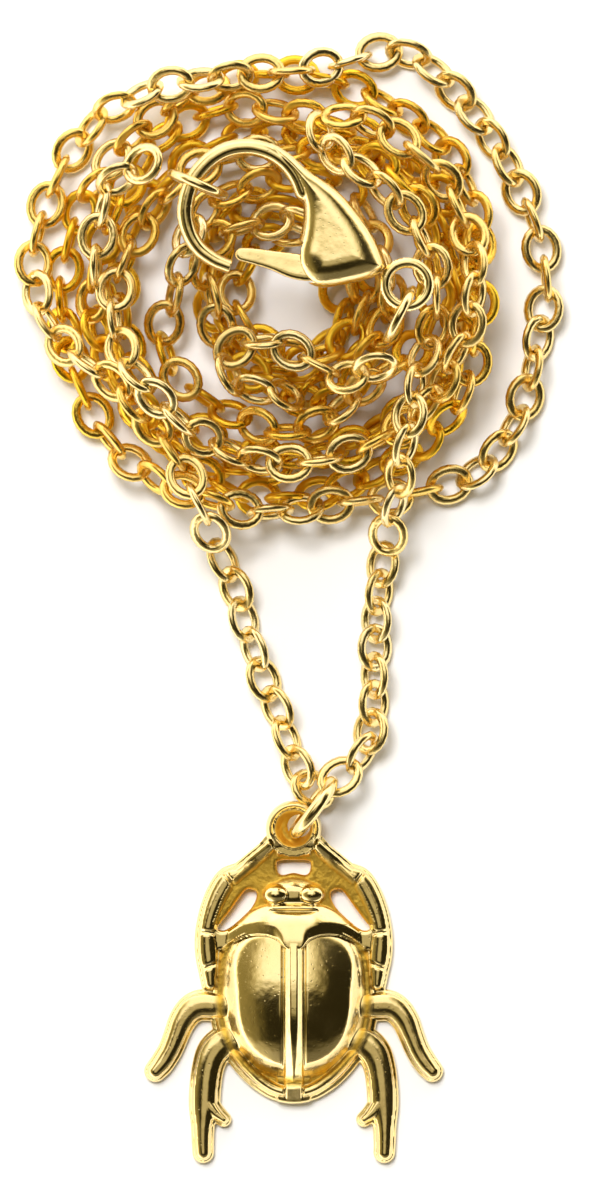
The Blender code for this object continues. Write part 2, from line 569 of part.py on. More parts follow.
def tube_mesh(points, sides, reach, closed=False, caps=True, first_side=None):
    """Closed tube along a route; reach(i, angle) gives its radius there."""
    shape = bmesh.new()
    count = len(points)
    rings = []
    side = Vector(first_side) if first_side else None
    for index, point in enumerate(points):
        ahead = points[(index + 1) % count] if closed or index + 1 < count else point
        behind = points[index - 1] if closed or index > 0 else point
        along = (Vector(ahead) - Vector(behind)).normalized()
        if side is None:
            side = along.cross(Vector((0.0, 0.0, 1.0)))
        side = (side - along * side.dot(along)).normalized()
        up = side.cross(along)
        ring = []
        for corner in range(sides):
            angle = 2 * math.pi * (corner + 0.5) / sides
            away = reach(index, angle)
            place = Vector(point) + (side * math.cos(angle) + up * math.sin(angle)) * away
            ring.append(shape.verts.new(place * MM))
        rings.append(ring)
    spans = count if closed else count - 1
    for index in range(spans):
        ring, other = rings[index], rings[(index + 1) % count]
        for corner in range(sides):
            after = (corner + 1) % sides
            shape.faces.new([ring[corner], ring[after], other[after], other[corner]])
    if caps and not closed:
        shape.faces.new(rings[0][::-1])
        shape.faces.new(rings[-1])
    return shape


def oval_points(centre, along, across, half_long, half_wide, segments):
    """Points round an oval in the plane of two unit directions."""
    points = []
    for index in range(segments):
        angle = 2 * math.pi * (index + 0.5) / segments
        points.append(Vector(centre) + Vector(along) * half_long * math.cos(angle)
                      + Vector(across) * half_wide * math.sin(angle))
    return points


def make_ring(name, centre, heading, lean, diameter, wire, segments, sides, material):
    """Round wire ring standing on edge, its plane along the heading and leaning off the vertical."""
    turn = math.radians(heading)
    tilt = math.radians(lean)
    along = Vector((math.cos(turn), math.sin(turn), 0.0))
    sideways = Vector((-math.sin(turn), math.cos(turn), 0.0))
    up = Vector((0.0, 0.0, 1.0)) * math.cos(tilt) + sideways * math.sin(tilt)
    middle = 0.5 * (diameter - wire)
    points = oval_points(centre, along, up, middle, middle, segments)
    normal = along.cross(up)
    shape = tube_mesh(points, sides, lambda index, angle: 0.5 * wire, closed=True, first_side=normal)
    made = object_from_bmesh(name, shape, material)
    made.data.shade_smooth()
    return made


def make_link(name, centre, heading, roll, pitch, material):
    """One flat oval link with its long way along the chain."""
    along = Vector((math.cos(heading) * math.cos(pitch), math.sin(heading) * math.cos(pitch),
                    math.sin(pitch)))
    level = Vector((-math.sin(heading), math.cos(heading), 0.0))
    up = along.cross(level)
    across = level * math.cos(roll) + up * math.sin(roll)
    half_long = 0.5 * (LINK_LENGTH - LINK_WIRE)
    half_wide = 0.5 * (LINK_WIDTH - LINK_WIRE)
    points = oval_points(centre, along, across, half_long, half_wide, LINK_SEGMENTS)
    shape = tube_mesh(points, LINK_SIDES, lambda index, angle: 0.5 * LINK_WIRE, closed=True,
                      first_side=along.cross(across))
    return object_from_bmesh(name, shape, material)


def strand_places(points):
    """Places of a strand's links, at the chain's own pitch along its route on the floor."""
    plan = even_points(smooth_curve(points, 6), LINK_PITCH)
    lifts = [STRAND_LIFT + STRAND_RISE] + [STRAND_LIFT] * (len(plan) - 1)
    return [(x, y, lift) for (x, y), lift in zip(plan, lifts)]


def make_strand(name, places, first, material):
    """Separate links at the given places, each pointing along the chain and rolled by turns."""
    for index, place in enumerate(places):
        ahead = places[min(index + 1, len(places) - 1)]
        behind = places[max(index - 1, 0)]
        run = Vector(ahead) - Vector(behind)
        heading = math.atan2(run.y, run.x)
        pitch = math.asin(run.z / run.length)
        roll = math.radians(STRAND_ROLL if index % 2 else -STRAND_ROLL)
        make_link(f"{name}_{index + first:02d}", place, heading, roll, pitch, material)


def spiral(start, turns, inner, squash, drift, wobble, phase):
    """Clockwise coil inward from a start point round the heap's middle, waving as it goes."""
    middle_x, middle_y = HEAP_CENTRE
    offset_x, offset_y = start[0] - middle_x, start[1] - middle_y
    outer = math.hypot(offset_x, offset_y)
    begin = math.atan2(offset_y, offset_x)
    count = int(turns * 20)
    points = []
    for index in range(1, count + 1):
        share = index / count
        angle = begin - 2 * math.pi * turns * share
        radius = outer + (inner - outer) * share
        ease = min(1.0, 4.0 * share)
        ease = min(ease, 4.0 * (1.0 - share))
        radius += ease * wobble * math.sin(2.3 * angle + phase)
        radius += ease * 0.6 * wobble * math.sin(5.2 * angle - phase)
        centre_x = middle_x + drift[0] * share
        centre_y = middle_y + drift[1] * share
        points.append((centre_x + radius * math.cos(angle),
                       centre_y + radius * (1.0 + (squash - 1.0) * ease) * math.sin(angle)))
    return points


def coiled(route, coils):
    """The route with its coils added to its end."""
    for coil in coils:
        route = route + spiral(route[-1], *coil)
    return route


def left_route():
    return coiled(LEFT_ENTRY + OUTER_TURN, LEFT_COILS) + LEFT_END


def right_route():
    return coiled(RIGHT_ENTRY, RIGHT_COILS) + RIGHT_END


def heap_heights(plan, strand, order, base):
    """Heights of the stations when each lies on the floor or on what was laid before it."""
    along = np.arange(len(plan))
    gap = np.linalg.norm(plan[:, None, :] - plan[None, :, :], axis=2)
    same = strand[:, None] == strand[None, :]
    length = np.abs(along[:, None] - along[None, :]) * LINK_PITCH
    apart = length > 3.2 * HEAP_LAYER
    crossing = (gap < HEAP_LAYER) & (order[None, :] < order[:, None]) & (~same | apart)
    lift = np.where(crossing, np.sqrt(np.maximum(HEAP_LAYER ** 2 - gap ** 2, 0.0)), -1e9)
    last = order > LAST_LAID
    pulled = same & (last[:, None] | ~last[None, :])
    run = np.where(pulled, length * HEAP_SLOPE, 1e9)
    heights = np.array(base, dtype=float)
    for sweep in range(40):
        needed = np.maximum(heights, (heights[None, :] + lift).max(axis=1))
        heights = (needed[None, :] - run).max(axis=1)
    return heights


def clasp_height(stations, relief):
    """Height of the clasp's middle plane when it lies on the heap and its rings hang free."""
    under = relief.edge(stations[:, 0], stations[:, 1]) < LINK_REACH
    height = stations[under, 2].max() + LINK_REACH + 0.5 * CLASP_THICKNESS + REST_GAP
    hang = small_ring_drop() + 0.5 * SMALL_RING_DIAMETER
    reach = 0.5 * SMALL_RING_WIRE + LINK_REACH
    for (x, y), heading in ((END_RING_PLACE, END_RING_HEADING), (TAIL_RING_PLACE, TAIL_RING_HEADING)):
        half_x = 0.5 * SMALL_RING_DIAMETER * math.cos(math.radians(heading))
        half_y = 0.5 * SMALL_RING_DIAMETER * math.sin(math.radians(heading))
        ring = [(x - half_x, y - half_y, 0.0), (x + half_x, y + half_y, 0.0)]
        near = limb_distance(stations[:, 0], stations[:, 1], ring)[0] < reach
        if near.any():
            height = max(height, stations[near, 2].max() + LINK_REACH + hang + REST_GAP)
    return height


def small_ring_drop():
    """How far a ring's middle hangs below the hook that it hangs on."""
    inner = 0.5 * SMALL_RING_DIAMETER - SMALL_RING_WIRE
    return inner - 0.5 * HOOK_THICKNESS - 2 * REST_GAP


def heap_routes():
    """Stations of both halves of the heap, as x, y, z, and the height of the clasp on them.

    Each half was laid from its inner coil outward, and its end by the clasp was laid last of all.
    """
    halves = [even_points(smooth_curve(route, 6), LINK_PITCH)
              for route in (left_route(), right_route())]
    tails = [END_STATIONS_LEFT, END_STATIONS_RIGHT]
    order = []
    for layer, (half, tail) in enumerate(zip(halves, tails)):
        turn = 1000 * layer - np.arange(len(half))
        turn[-tail:] += 2 * LAST_LAID
        order.append(turn)
    split = len(halves[0])
    plan = np.vstack(halves)
    order = np.concatenate(order)
    strand = np.array([0] * split + [1] * len(halves[1]))
    base = np.full(len(plan), STRAND_LIFT)
    middle = 0.0
    for settle in range(2):
        heights = heap_heights(plan, strand, order, base)
        stations = np.column_stack([plan, heights])
        middle = clasp_height(stations[order < LAST_LAID], ClaspRelief())
        base[split - 1] = base[-1] = middle - small_ring_drop() - END_DROP
    return stations[:split], stations[split:], middle


def make_heap_chain(name, stations, material):
    """The heaped links fused in one solid: its corners go out and in by turns as the links do."""
    def reach(index, angle):
        corner = round((angle / (2 * math.pi)) * 4 - 0.5)
        return LINK_REACH * (1.0 if (corner + index) % 2 else HEAP_WAIST)
    points = [tuple(station) for station in stations]
    return object_from_bmesh(name, tube_mesh(points, 4, reach), material)


class ClaspRelief:
    """Outline and half thickness of the clasp's hook, body and tail loop."""

    def __init__(self):
        self.hook = smooth_curve(HOOK, 6)
        self.body = smooth_curve(CLASP_BODY, 6, closed=True)

    def box(self):
        reach = TAIL_LOOP_RADIUS + 0.5 * TAIL_LOOP_WIRE
        return ((self.hook[:, 0] - self.hook[:, 2]).min(), TAIL_LOOP_CENTRE[0] + reach,
                TAIL_LOOP_CENTRE[1] - reach, (self.hook[:, 1] + self.hook[:, 2]).max())

    def loop(self, x, y):
        away = np.hypot(x - TAIL_LOOP_CENTRE[0], y - TAIL_LOOP_CENTRE[1])
        return np.abs(away - TAIL_LOOP_RADIUS) - 0.5 * TAIL_LOOP_WIRE

    def edge(self, x, y):
        nose_x, nose_y, heading = NOSE
        beyond = (x - nose_x) * math.cos(heading) + (y - nose_y) * math.sin(heading)
        hook = limb_distance(x, y, self.hook)[0]
        hook = np.where(np.hypot(x - nose_x, y - nose_y) < 1.0, np.maximum(hook, beyond), hook)
        metal = np.minimum(hook, outline_distance(x, y, self.body))
        return np.minimum(metal, self.loop(x, y))

    def face(self, x, y):
        across = limb_distance(x, y, self.hook)[1]
        height = 0.5 * HOOK_THICKNESS * round_profile(1.0 - across)
        run_x, run_y = np.subtract(CLASP_HEEL, CLASP_NECK)
        along = (x - CLASP_NECK[0]) * run_x + (y - CLASP_NECK[1]) * run_y
        swell = np.clip(along / (run_x ** 2 + run_y ** 2), 0.0, 1.0)
        shoulder = NECK_SHOULDER + (CLASP_SHOULDER - NECK_SHOULDER) * swell
        top = 0.5 * (HOOK_THICKNESS + (CLASP_THICKNESS - HOOK_THICKNESS) * swell)
        inside = -outline_distance(x, y, self.body) / shoulder
        height = np.maximum(height, top * round_profile(inside))
        ring = -self.loop(x, y) / (0.5 * TAIL_LOOP_WIRE)
        height = np.maximum(height, 0.5 * TAIL_LOOP_WIRE * round_profile(ring))
        return np.maximum(height, CLASP_EDGE)

    def underside(self, x, y):
        return -self.face(x, y)


class LeverRelief:
    """Outline and half thickness of the clasp's lever, with the bore that it turns on."""

    def __init__(self):
        self.path = smooth_curve(LEVER, 5)

    def box(self):
        x, y, half = self.path.T
        return (x - half).min(), (x + half).max(), (y - half).min(), (y + half).max()

    def edge(self, x, y):
        bore = PIN_RADIUS + PIN_CLEARANCE - np.hypot(x - PIVOT[0], y - PIVOT[1])
        return np.maximum(limb_distance(x, y, self.path)[0], bore)

    def face(self, x, y):
        across = limb_distance(x, y, self.path)[1]
        edge_y = np.interp(x, self.path[:, 0], self.path[:, 1] - self.path[:, 2])
        height = 0.5 * LEVER_THICKNESS * (0.72 + 0.28 * round_profile(2.0 - 2.0 * across))
        return height - LEVER_TILT * np.clip(y - edge_y, 0.0, 2.0)

    def underside(self, x, y):
        return -self.face(x, y)


class LeverSlot:
    """Room that the lever sweeps through inside the body, from shut to open."""

    def __init__(self):
        self.path = smooth_curve(LEVER, 5)

    def box(self):
        reach = np.hypot(self.path[:, 0] - PIVOT[0], self.path[:, 1] - PIVOT[1]) + self.path[:, 2]
        reach = reach.max() + LEVER_CLEARANCE
        return PIVOT[0] - reach, PIVOT[0] + reach, PIVOT[1] - reach, PIVOT[1] + reach

    def edge(self, x, y):
        best = np.full(x.shape, 1e9)
        for turn in np.radians(np.linspace(0.0, LEVER_OPENING, 6)):
            across, along = x - PIVOT[0], y - PIVOT[1]
            back_x = PIVOT[0] + across * math.cos(turn) - along * math.sin(turn)
            back_y = PIVOT[1] + across * math.sin(turn) + along * math.cos(turn)
            best = np.minimum(best, limb_distance(back_x, back_y, self.path)[0])
        return best - LEVER_CLEARANCE

    def face(self, x, y):
        return np.full(x.shape, 0.5 * LEVER_THICKNESS + LEVER_CLEARANCE)

    def underside(self, x, y):
        return -self.face(x, y)


def make_clasp(height, material):
    """The clasp's cast body with its slot, the lever on its pin, and the pin."""
    body_mesh = relief_mesh("clasp_body", ClaspRelief(), CLASP_CELL, height)
    body = thinned("clasp_body", body_mesh, CLASP_FACES, material)
    slot_mesh = relief_mesh("clasp_slot", LeverSlot(), CLASP_CELL, height)
    slot = thinned("clasp_slot", slot_mesh, SLOT_FACES, material)
    slot.hide_render = True
    slot.display_type = "WIRE"
    cut = body.modifiers.new("slot", "BOOLEAN")
    cut.operation = "DIFFERENCE"
    cut.object = slot
    lever_mesh = relief_mesh("clasp_lever", LeverRelief(), CLASP_CELL, height)
    thinned("clasp_lever", lever_mesh, LEVER_FACES, material)
    pin_shape = bmesh.new()
    bmesh.ops.create_cone(pin_shape, cap_ends=True, segments=PIN_SIDES, radius1=PIN_RADIUS * MM,
                          radius2=PIN_RADIUS * MM,
                          depth=(LEVER_THICKNESS + LEVER_CLEARANCE) * MM)
    bmesh.ops.translate(pin_shape, verts=pin_shape.verts,
                        vec=(PIVOT[0] * MM, PIVOT[1] * MM, height * MM))
    object_from_bmesh("clasp_pin", pin_shape, material)


if __name__ == "__main__":
    clear_scene()
    chain_gold = gold_material("chain_gold", GOLD, 0.18)
    clasp_gold = gold_material("clasp_gold", GOLD, 0.12)
    make_scarab()
    ring_height = 0.5 * RING_DIAMETER + REST_GAP
    make_ring("bail_jump_ring", (*RING_OFFSET, ring_height), RING_HEADING, RING_LEAN,
              RING_DIAMETER, RING_WIRE, RING_SEGMENTS, RING_SIDES, clasp_gold)
    for name, (place, heading, roll, pitch) in RING_LINKS.items():
        make_link(name, place, heading, roll, pitch, chain_gold)
    left_places = strand_places(LEFT_STRAND)
    right_places = strand_places(RIGHT_STRAND)
    make_strand("chain_link_left", left_places, 2, chain_gold)
    make_strand("chain_link_right", right_places, 3, chain_gold)
    left_heap, right_heap, clasp_middle = heap_routes()
    make_heap_chain("heap_chain_left", left_heap, chain_gold)
    make_heap_chain("heap_chain_right", right_heap, chain_gold)
    make_clasp(clasp_middle, clasp_gold)
    hang_height = clasp_middle - small_ring_drop()
    make_ring("chain_end_ring", (*END_RING_PLACE, hang_height), END_RING_HEADING, 0.0,
              SMALL_RING_DIAMETER, SMALL_RING_WIRE, SMALL_RING_SEGMENTS, SMALL_RING_SIDES, clasp_gold)
    make_ring("clasp_tail_ring", (*TAIL_RING_PLACE, hang_height), TAIL_RING_HEADING, 0.0,
              SMALL_RING_DIAMETER, SMALL_RING_WIRE, SMALL_RING_SEGMENTS, SMALL_RING_SIDES, clasp_gold)
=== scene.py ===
"""Looks of a gold-plated scarab pendant that lies face up with its cable chain heaped beside it.

Sizes are in millimetres and turned to metres as each mesh is made. The origin is the middle of the
scarab's flat back, +Z comes out of its face, and +Y points to its head and on to the chain.
"""
import math

import bpy
import numpy as np
from mathutils import Matrix, Vector


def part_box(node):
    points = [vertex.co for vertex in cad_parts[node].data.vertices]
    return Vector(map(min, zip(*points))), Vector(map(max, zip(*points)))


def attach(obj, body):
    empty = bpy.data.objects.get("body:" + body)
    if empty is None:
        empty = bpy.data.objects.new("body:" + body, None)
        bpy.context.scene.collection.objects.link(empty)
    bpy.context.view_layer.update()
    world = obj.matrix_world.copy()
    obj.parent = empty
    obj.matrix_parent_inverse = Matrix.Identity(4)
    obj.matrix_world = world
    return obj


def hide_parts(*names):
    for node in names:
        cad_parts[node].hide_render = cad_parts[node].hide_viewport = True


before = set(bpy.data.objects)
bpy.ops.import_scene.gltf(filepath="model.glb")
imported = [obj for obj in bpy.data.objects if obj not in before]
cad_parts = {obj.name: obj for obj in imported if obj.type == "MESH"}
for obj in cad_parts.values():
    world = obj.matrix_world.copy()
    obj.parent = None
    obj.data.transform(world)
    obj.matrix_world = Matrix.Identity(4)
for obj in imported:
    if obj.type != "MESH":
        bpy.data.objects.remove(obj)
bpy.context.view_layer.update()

MM = 0.001
FAR = 1e9
TINY = 1e-6
LEVEL = 1e-12                # an outline's side that rises less than this counts as level
LIMB_STEPS = 5               # places between two given points of a curve
EDGE_STEPS = 4
ROUTE_STEPS = 6

# Scarab casting
SCARAB_CELL = 0.062          # spacing of the faces over the casting
SCARAB_FACES = 190000        # most triangles after thinning
SNAP_SHARE = 0.32            # grid corners this part of a cell from the outline move on to it
SLOPE_STEP = 0.01            # distance over which the outline's direction is measured
PLATE_MARGIN = 0.21          # flat flange round legs and abdomen
PLATE_THICKNESS = 0.60
PLATE_EDGE = 0.26            # rounding of the flange's edge
LEG_RISE = 0.58
LEG_WALL_SHARE = 0.62        # part of a leg's rise that is its steep foot
CREASE_DEPTH = 0.15
CREASE_WIDTH = 0.12
CREASE_FADE = 0.7            # part of its half length where a crease starts to fade
LEG_WALL_WIDTH = 0.10        # of a leg's half width
LEG_CREST = 0.12
LEG_FOOT = 0.1               # below this height a crease doesn't cut
GROOVE_HEIGHT = 0.85
GROOVE_SLOPE = 0.3
RIM_RISE = 0.50
RIM_INSET = 0.44
RIM_HALF_WIDTH = 0.34
RIM_GAP = (0.45, 0.60)       # it starts this far from the middle line
RIM_TOP = (-2.7, -1.9)       # and dies out here on its way to the head
RIM_BLEND = 0.05
DOME_BAND_SLOPE = 1.15       # steepness of the wing cases' border
DOME_TOP = 2.70
DOME_SUMMIT = 0.40           # how far forward the wing cases are highest
DOME_FALL_ACROSS = 0.076     # how fast they fall away, for each square millimetre
DOME_FALL_FRONT = 0.045
DOME_FALL_REAR = 0.068
SUTURE_DEPTH = 0.12
SUTURE_OFFSET = 0.05         # from the ridge's foot to its middle
SUTURE_WIDTH = 0.09
DOME_BLEND = 0.10
WING_BLEND = 0.04
RIDGE_HALF_WIDTH = 0.55
RIDGE_CREST = 0.20
RIDGE_PROUD = 0.32           # how far the ridge stands above the wing cases beside it
TONGUE_HEIGHT = 1.60
TONGUE_FALL = 0.70
TONGUE_SPAN = (4.0, 5.2)     # distances behind the origin between which it falls
TONGUE_BLEND = 0.06
TONGUE_EDGE = 0.12
RIDGE_FOOT = 0.04            # the ridge's sides end this far inside the wing cases
CREST_END = 4.12             # the ridge's flat crest narrows to nothing here
CREST_RUN = 3.2
RIDGE_END = -5.18
RIDGE_START = 4.2
PRONOTUM_FRONT = 1.35
PRONOTUM_RISE = 1.12
PRONOTUM_DEPTH = 2.60        # from its front edge to its highest line
PRONOTUM_LIP = 0.30          # fall of its lobes to their rear edge
PRONOTUM_LIP_DEPTH = 0.80
PRONOTUM_SIDE_FALL = 0.075   # how fast it falls to its ends, for each square millimetre
LIP_START = (0.45, 1.2)      # the lobes begin this far from the middle line
PRONOTUM_EDGE = 0.14         # breadth and depth of its rounded edge
PRONOTUM_EDGE_DEPTH = 0.12
HEAD_HEIGHT = 1.55
HEAD_EDGE = 0.75
HEAD_FALL = 0.30             # it falls to the front between these two places
HEAD_FALL_SPAN = (6.9, 7.8)
EYE_RISE = 0.42              # of an eye above the head
EYE_REACH = (0.78, 0.60)     # half breadth and half length of an eye
EYE_PLACE = (1.05, 6.74)
EYE_WALL = 0.35
EYE_BLEND = 0.10
FOLD_HEIGHT = 0.22           # of the fold behind the head, and the depth of the neck
FOLD_PLACE = 6.05
FOLD_HALF_WIDTH = 0.20
FOLD_ENDS = (1.1, 1.6)
NECK_PLACE = 5.78
NECK_REACH = (1.2, 0.16)
NECK_SLOPE = (0.3, 1.2)
WEB_HEIGHT = 0.95
THINNEST = 0.20
GRID_MARGIN = 0.15           # empty cells kept round a relief's outline

# Where the casting is rough and painted a warmer, deeper gold as painted shade and bounce light:
# # the wing cases' groove, the web and the bail's dish
GROOVE_MIDDLE = 0.12
GROOVE_WIDTH = 0.45
WEB_FADE = 0.5
WEB_START = 5.0
DISH_FADE = 0.1

# Eye of the bail
BAIL_TOP = 12.18             # from the origin to the end of the bail
BAIL_RADIUS = 1.62
EYE_CENTRE = (0.0, BAIL_TOP - BAIL_RADIUS)
BAIL_RIM = 0.52
BAIL_THICKNESS = 0.85
BAIL_LIFT = 0.95             # its underside stands this far above the flat back
BAIL_DISH = 0.55
BAIL_DISH_SLOPE = (0.05, 0.75)
BAIL_SHELF = 0.45            # part of its thickness below its rounded rim
BAIL_BULGE = 0.55            # and the part that the rim adds
BAIL_INNER = 0.2             # the rim's own slope ends this far inside its crest
BAIL_OPEN = (0.3, 1.1)       # its rim dies out this far below its middle
BAIL_BAR = (0.95, 9.22)      # half length and place of the bar below it
BAIL_BAR_SLOPE = (0.05, 0.28)
BAIL_BAR_HEIGHT = 0.75
ARM_CLIMB = 0.55             # how far the front legs rise to the bail
ARM_CLIMB_SPAN = (8.4, 9.8)
LIFT_SPAN = (8.95, 9.75)     # where the underside rises to the bail
LIFT_SIDES = (1.9, 2.6)
BORE_RADIUS = 0.66
BORE_CENTRE = (0.30, 10.72)

# Bail's jump ring
RING_DIAMETER = 4.35
RING_WIRE = 0.75
RING_HEADING = 54.0
RING_LEAN = -4.0
RING_SEGMENTS = 96
RING_SIDES = 24

# Chain
LINK_LENGTH = 2.85
LINK_WIDTH = 2.40
LINK_WIRE = 0.54
LINK_FLAT = 0.42             # the wire is filed flat to this thickness
LINK_PITCH = 1.75
LINK_STEPS = 18
LINK_CORNER = 0.27           # rounding of the wire's filed edges, of its breadth
LINK_WOBBLE = 5.0
STRAND_ROLL = 45.0
STRAND_TWIST = (9.0, 1.1)    # degrees, and how fast it comes and goes
STRAND_SEED = 3
HEAP_TWISTS = [(38.0, 0.31, 1.0), (24.0, 0.83, 2.0)]
HEAP_HALVES = [("left", 0.3, 11), ("right", 1.7, 12)]
LAY_GAP = 0.045              # between a strand and what it lies on
LINK_REACH = 0.913           # from a rolled link's middle to its top
STRAND_LIFT = LINK_REACH + LAY_GAP
HEAP_LAYER = 1.80            # height of one strand lying across another
HEAP_SLOPE = 0.60
HEAP_FREE_RUN = 3.2          # in layers: a strand never lies on itself nearer than this
HEAP_SWEEPS = 40
COIL_STEPS = 20              # places in a turn
COIL_WAVES = [(1.0, 2.3, 1.0), (0.6, 5.2, -1.0)]
END_STATIONS_LEFT = 5        # links at the end that hang up to the clasp
END_STATIONS_RIGHT = 9
END_DROP = 0.60
CROWD_REACH = 2.6            # other links this near shade a link and redden what it mirrors
CROWD_FREE = 2
CROWD_FULL = 6
ORDER_STEP = 1000            # between the order numbers of the two halves
LAST_LAID = 5000             # order number above which a station belongs to an end
HEAP_CENTRE = (-0.5, 41.6)

# Clasp
CLASP_CELL = 0.065
CLASP_THICKNESS = 2.30
CLASP_SHOULDER = 1.70        # breadth over which the body swells to its full thickness
NECK_SHOULDER = 0.50         # the same where the body leaves the hook
CLASP_EDGE = 0.12            # half thickness left at the outline
HOOK_THICKNESS = 0.92
TAIL_LOOP_RADIUS = 1.25
TAIL_LOOP_WIRE = 0.60
LEVER_THICKNESS = 0.90
LEVER_TILT = 0.09            # fall of the lever's faces across it
LEVER_EDGE = 0.28            # part of its thickness that its rounded edges take
LEVER_BREADTH = 2.0
LEVER_CLEARANCE = 0.10
SLOT_CELL = 0.15
SLOT_TURNS = 6               # positions of the lever that its slot is cut for
LEVER_OPENING = 25.0
PIN_RADIUS = 0.25
PIN_CLEARANCE = 0.08
SMALL_RING_DIAMETER = 3.75
SMALL_RING_WIRE = 0.55
REST_GAP = 0.06              # between the clasp and what it lies on

# Outlines of the right half, x from the middle line and y toward the head
MIDDLE_LEG = [(4.0, 0.22, 0.62), (4.75, 0.3, 0.7), (5.45, 0.3, 0.7), (6.0, 0.02, 0.66),
              (6.47, -0.6, 0.6), (6.8, -1.4, 0.54), (7.15, -2.25, 0.51), (7.6, -3.0, 0.5),
              (8.02, -3.5, 0.44)]
HIND_LEG = [(3.3, -1.75, 0.6), (3.95, -1.8, 0.78), (4.6, -2.35, 0.8), (4.95, -3.2, 0.74),
            (5.12, -4.35, 0.72), (5.18, -5.45, 0.7), (5.26, -6.6, 0.5), (5.27, -7.6, 0.44),
            (5.25, -8.22, 0.42)]
SPUR = [(5.05, -5.35, 0.5), (4.55, -5.9, 0.36), (4.06, -6.3, 0.24)]
FRONT_LEG = [(3.36, 7.86, 0.46), (3.85, 7.52, 0.56), (4.31, 6.8, 0.56), (4.69, 5.95, 0.52),
             (4.95, 5.05, 0.48), (5.02, 4.15, 0.52), (4.95, 3.2, 0.55), (4.88, 2.35, 0.45),
             (4.82, 1.55, 0.34)]
SHIN = [(3.7, 7.6, 0.4), (2.95, 8.12, 0.4), (2.22, 8.72, 0.4), (1.62, 9.25, 0.38),
        (1.28, 9.7, 0.34)]
PRONOTUM = [(-4.83, 4.1), (-4.31, 4.58), (-3.5, 5.12), (-2.6, 5.7), (-1.5, 6.18), (0.0, 6.34),
            (1.5, 6.18), (2.6, 5.7), (3.5, 5.12), (4.31, 4.58), (4.83, 4.1), (4.6, 3.62),
            (3.6, 3.98), (2.57, 4.38), (1.64, 4.4), (0.95, 4.15), (0.4, 3.62), (-0.4, 3.62),
            (-0.95, 4.15), (-1.64, 4.4), (-2.57, 4.38), (-3.6, 3.98), (-4.6, 3.62)]
PRONOTUM_CORNER = 11         # its rear edge starts at this place
ABDOMEN = [(0.0, 5.0), (2.6, 4.6), (4.15, 3.6), (4.58, 2.3), (4.7, 0.6), (4.52, -1.05),
           (3.94, -2.4), (3.12, -3.52), (2.2, -4.38), (1.15, -4.98), (0.0, -5.18)]
HEAD = [(0.0, 7.84), (0.72, 7.72), (1.12, 7.5), (1.5, 7.34), (1.66, 6.9), (1.56, 6.4),
        (1.3, 6.02), (0.0, 5.9)]
COLLAR = [(0.0, 10.0), (1.0, 9.6), (3.3, 7.9), (4.5, 5.6), (4.6, 3.6), (0.0, 3.4)]
TOP_WINDOW = [(0.0, 8.74), (0.8, 8.7), (0.98, 8.52), (0.9, 8.02), (0.62, 7.86), (0.0, 7.98)]
SIDE_WINDOW = [(2.2, 6.92), (2.66, 7.04), (3.0, 6.74), (3.56, 5.95), (4.12, 5.22), (4.4, 4.78),
               (4.02, 4.66), (3.4, 5.05), (2.86, 5.52), (2.42, 6.0), (2.18, 6.5)]
WING_CASE = {"middle": 0.7, "half_width": 4.15, "front": 4.6, "rear": 4.66,
             "front_power": 3.0, "rear_power": 2.2}

# Creases across the front legs: middle, direction, half length
LEG_CREASES = [(3.75, 7.62, 0.95, 0.8), (4.95, 4.55, 0.1, 0.85), (4.88, 2.6, -0.35, 0.6)]

# Routes of the chain, x and y, from the jump ring outward
LEFT_ENTRY = [(-4.8, 27.7), (-5.5, 29.35), (-6.35, 31.3), (-7.6, 33.15), (-8.85, 34.75),
              (-9.85, 35.9), (-11.3, 37.0), (-12.95, 38.2), (-14.25, 39.9)]
OUTER_TURN = [(-15.05, 43.0), (-14.5, 46.1), (-13.2, 49.2), (-10.9, 51.9), (-7.5, 53.4),
              (-3.0, 54.1), (1.8, 54.6), (6.0, 55.6), (9.0, 53.6), (11.8, 50.0),
              (13.6, 46.4), (14.6, 42.5), (14.0, 38.2), (12.9, 34.2), (10.6, 31.2),
              (6.8, 29.95), (2.4, 29.35), (-2.0, 28.9), (-5.4, 29.8), (-9.0, 31.4),
              (-11.2, 33.8), (-12.7, 37.0)]
LEFT_END = [(-11.3, 44.9), (-10.9, 46.8), (-9.8, 48.4), (-8.68, 48.85)]
RIGHT_ENTRY = [(5.45, 27.55), (5.8, 29.2), (6.1, 30.9), (6.45, 32.9), (6.75, 35.0),
               (7.3, 37.2), (8.0, 39.3), (8.2, 41.5), (7.6, 44.2), (6.0, 46.6),
               (3.8, 48.6), (1.6, 50.1), (2.2, 51.6), (4.6, 51.3), (7.6, 49.1),
               (9.8, 45.8), (10.4, 41.8), (9.4, 38.1)]
RIGHT_END = [(-3.0, 36.2), (-3.9, 37.4), (-3.0, 38.6), (-1.2, 38.6), (0.6, 37.8),
             (2.2, 36.9), (3.6, 36.6), (4.66, 37.17)]

# Coils of the heap: turns, last radius, squash, drift of the middle, waviness, phase
LEFT_COILS = [(2.06, 9.2, 0.99, (-0.3, 0.0), 0.45, 0.4),
              (1.0, 10.9, 0.97, (0.0, 0.0), 0.6, 1.1)]
RIGHT_COILS = [(3.4, 3.0, 0.95, (0.5, -0.4), 0.6, 2.0),
               (1.82, 6.0, 0.96, (0.0, 0.0), 0.45, 0.7)]

# Links next to the jump ring: heading, roll and pitch in radians
RING_LINKS = {"chain_link_left_01": (2.708, 0.465, 0.192),
              "chain_link_right_01": (0.651, -0.414, -0.197),
              "chain_link_right_02": (-2.158, -0.943, 0.0)}

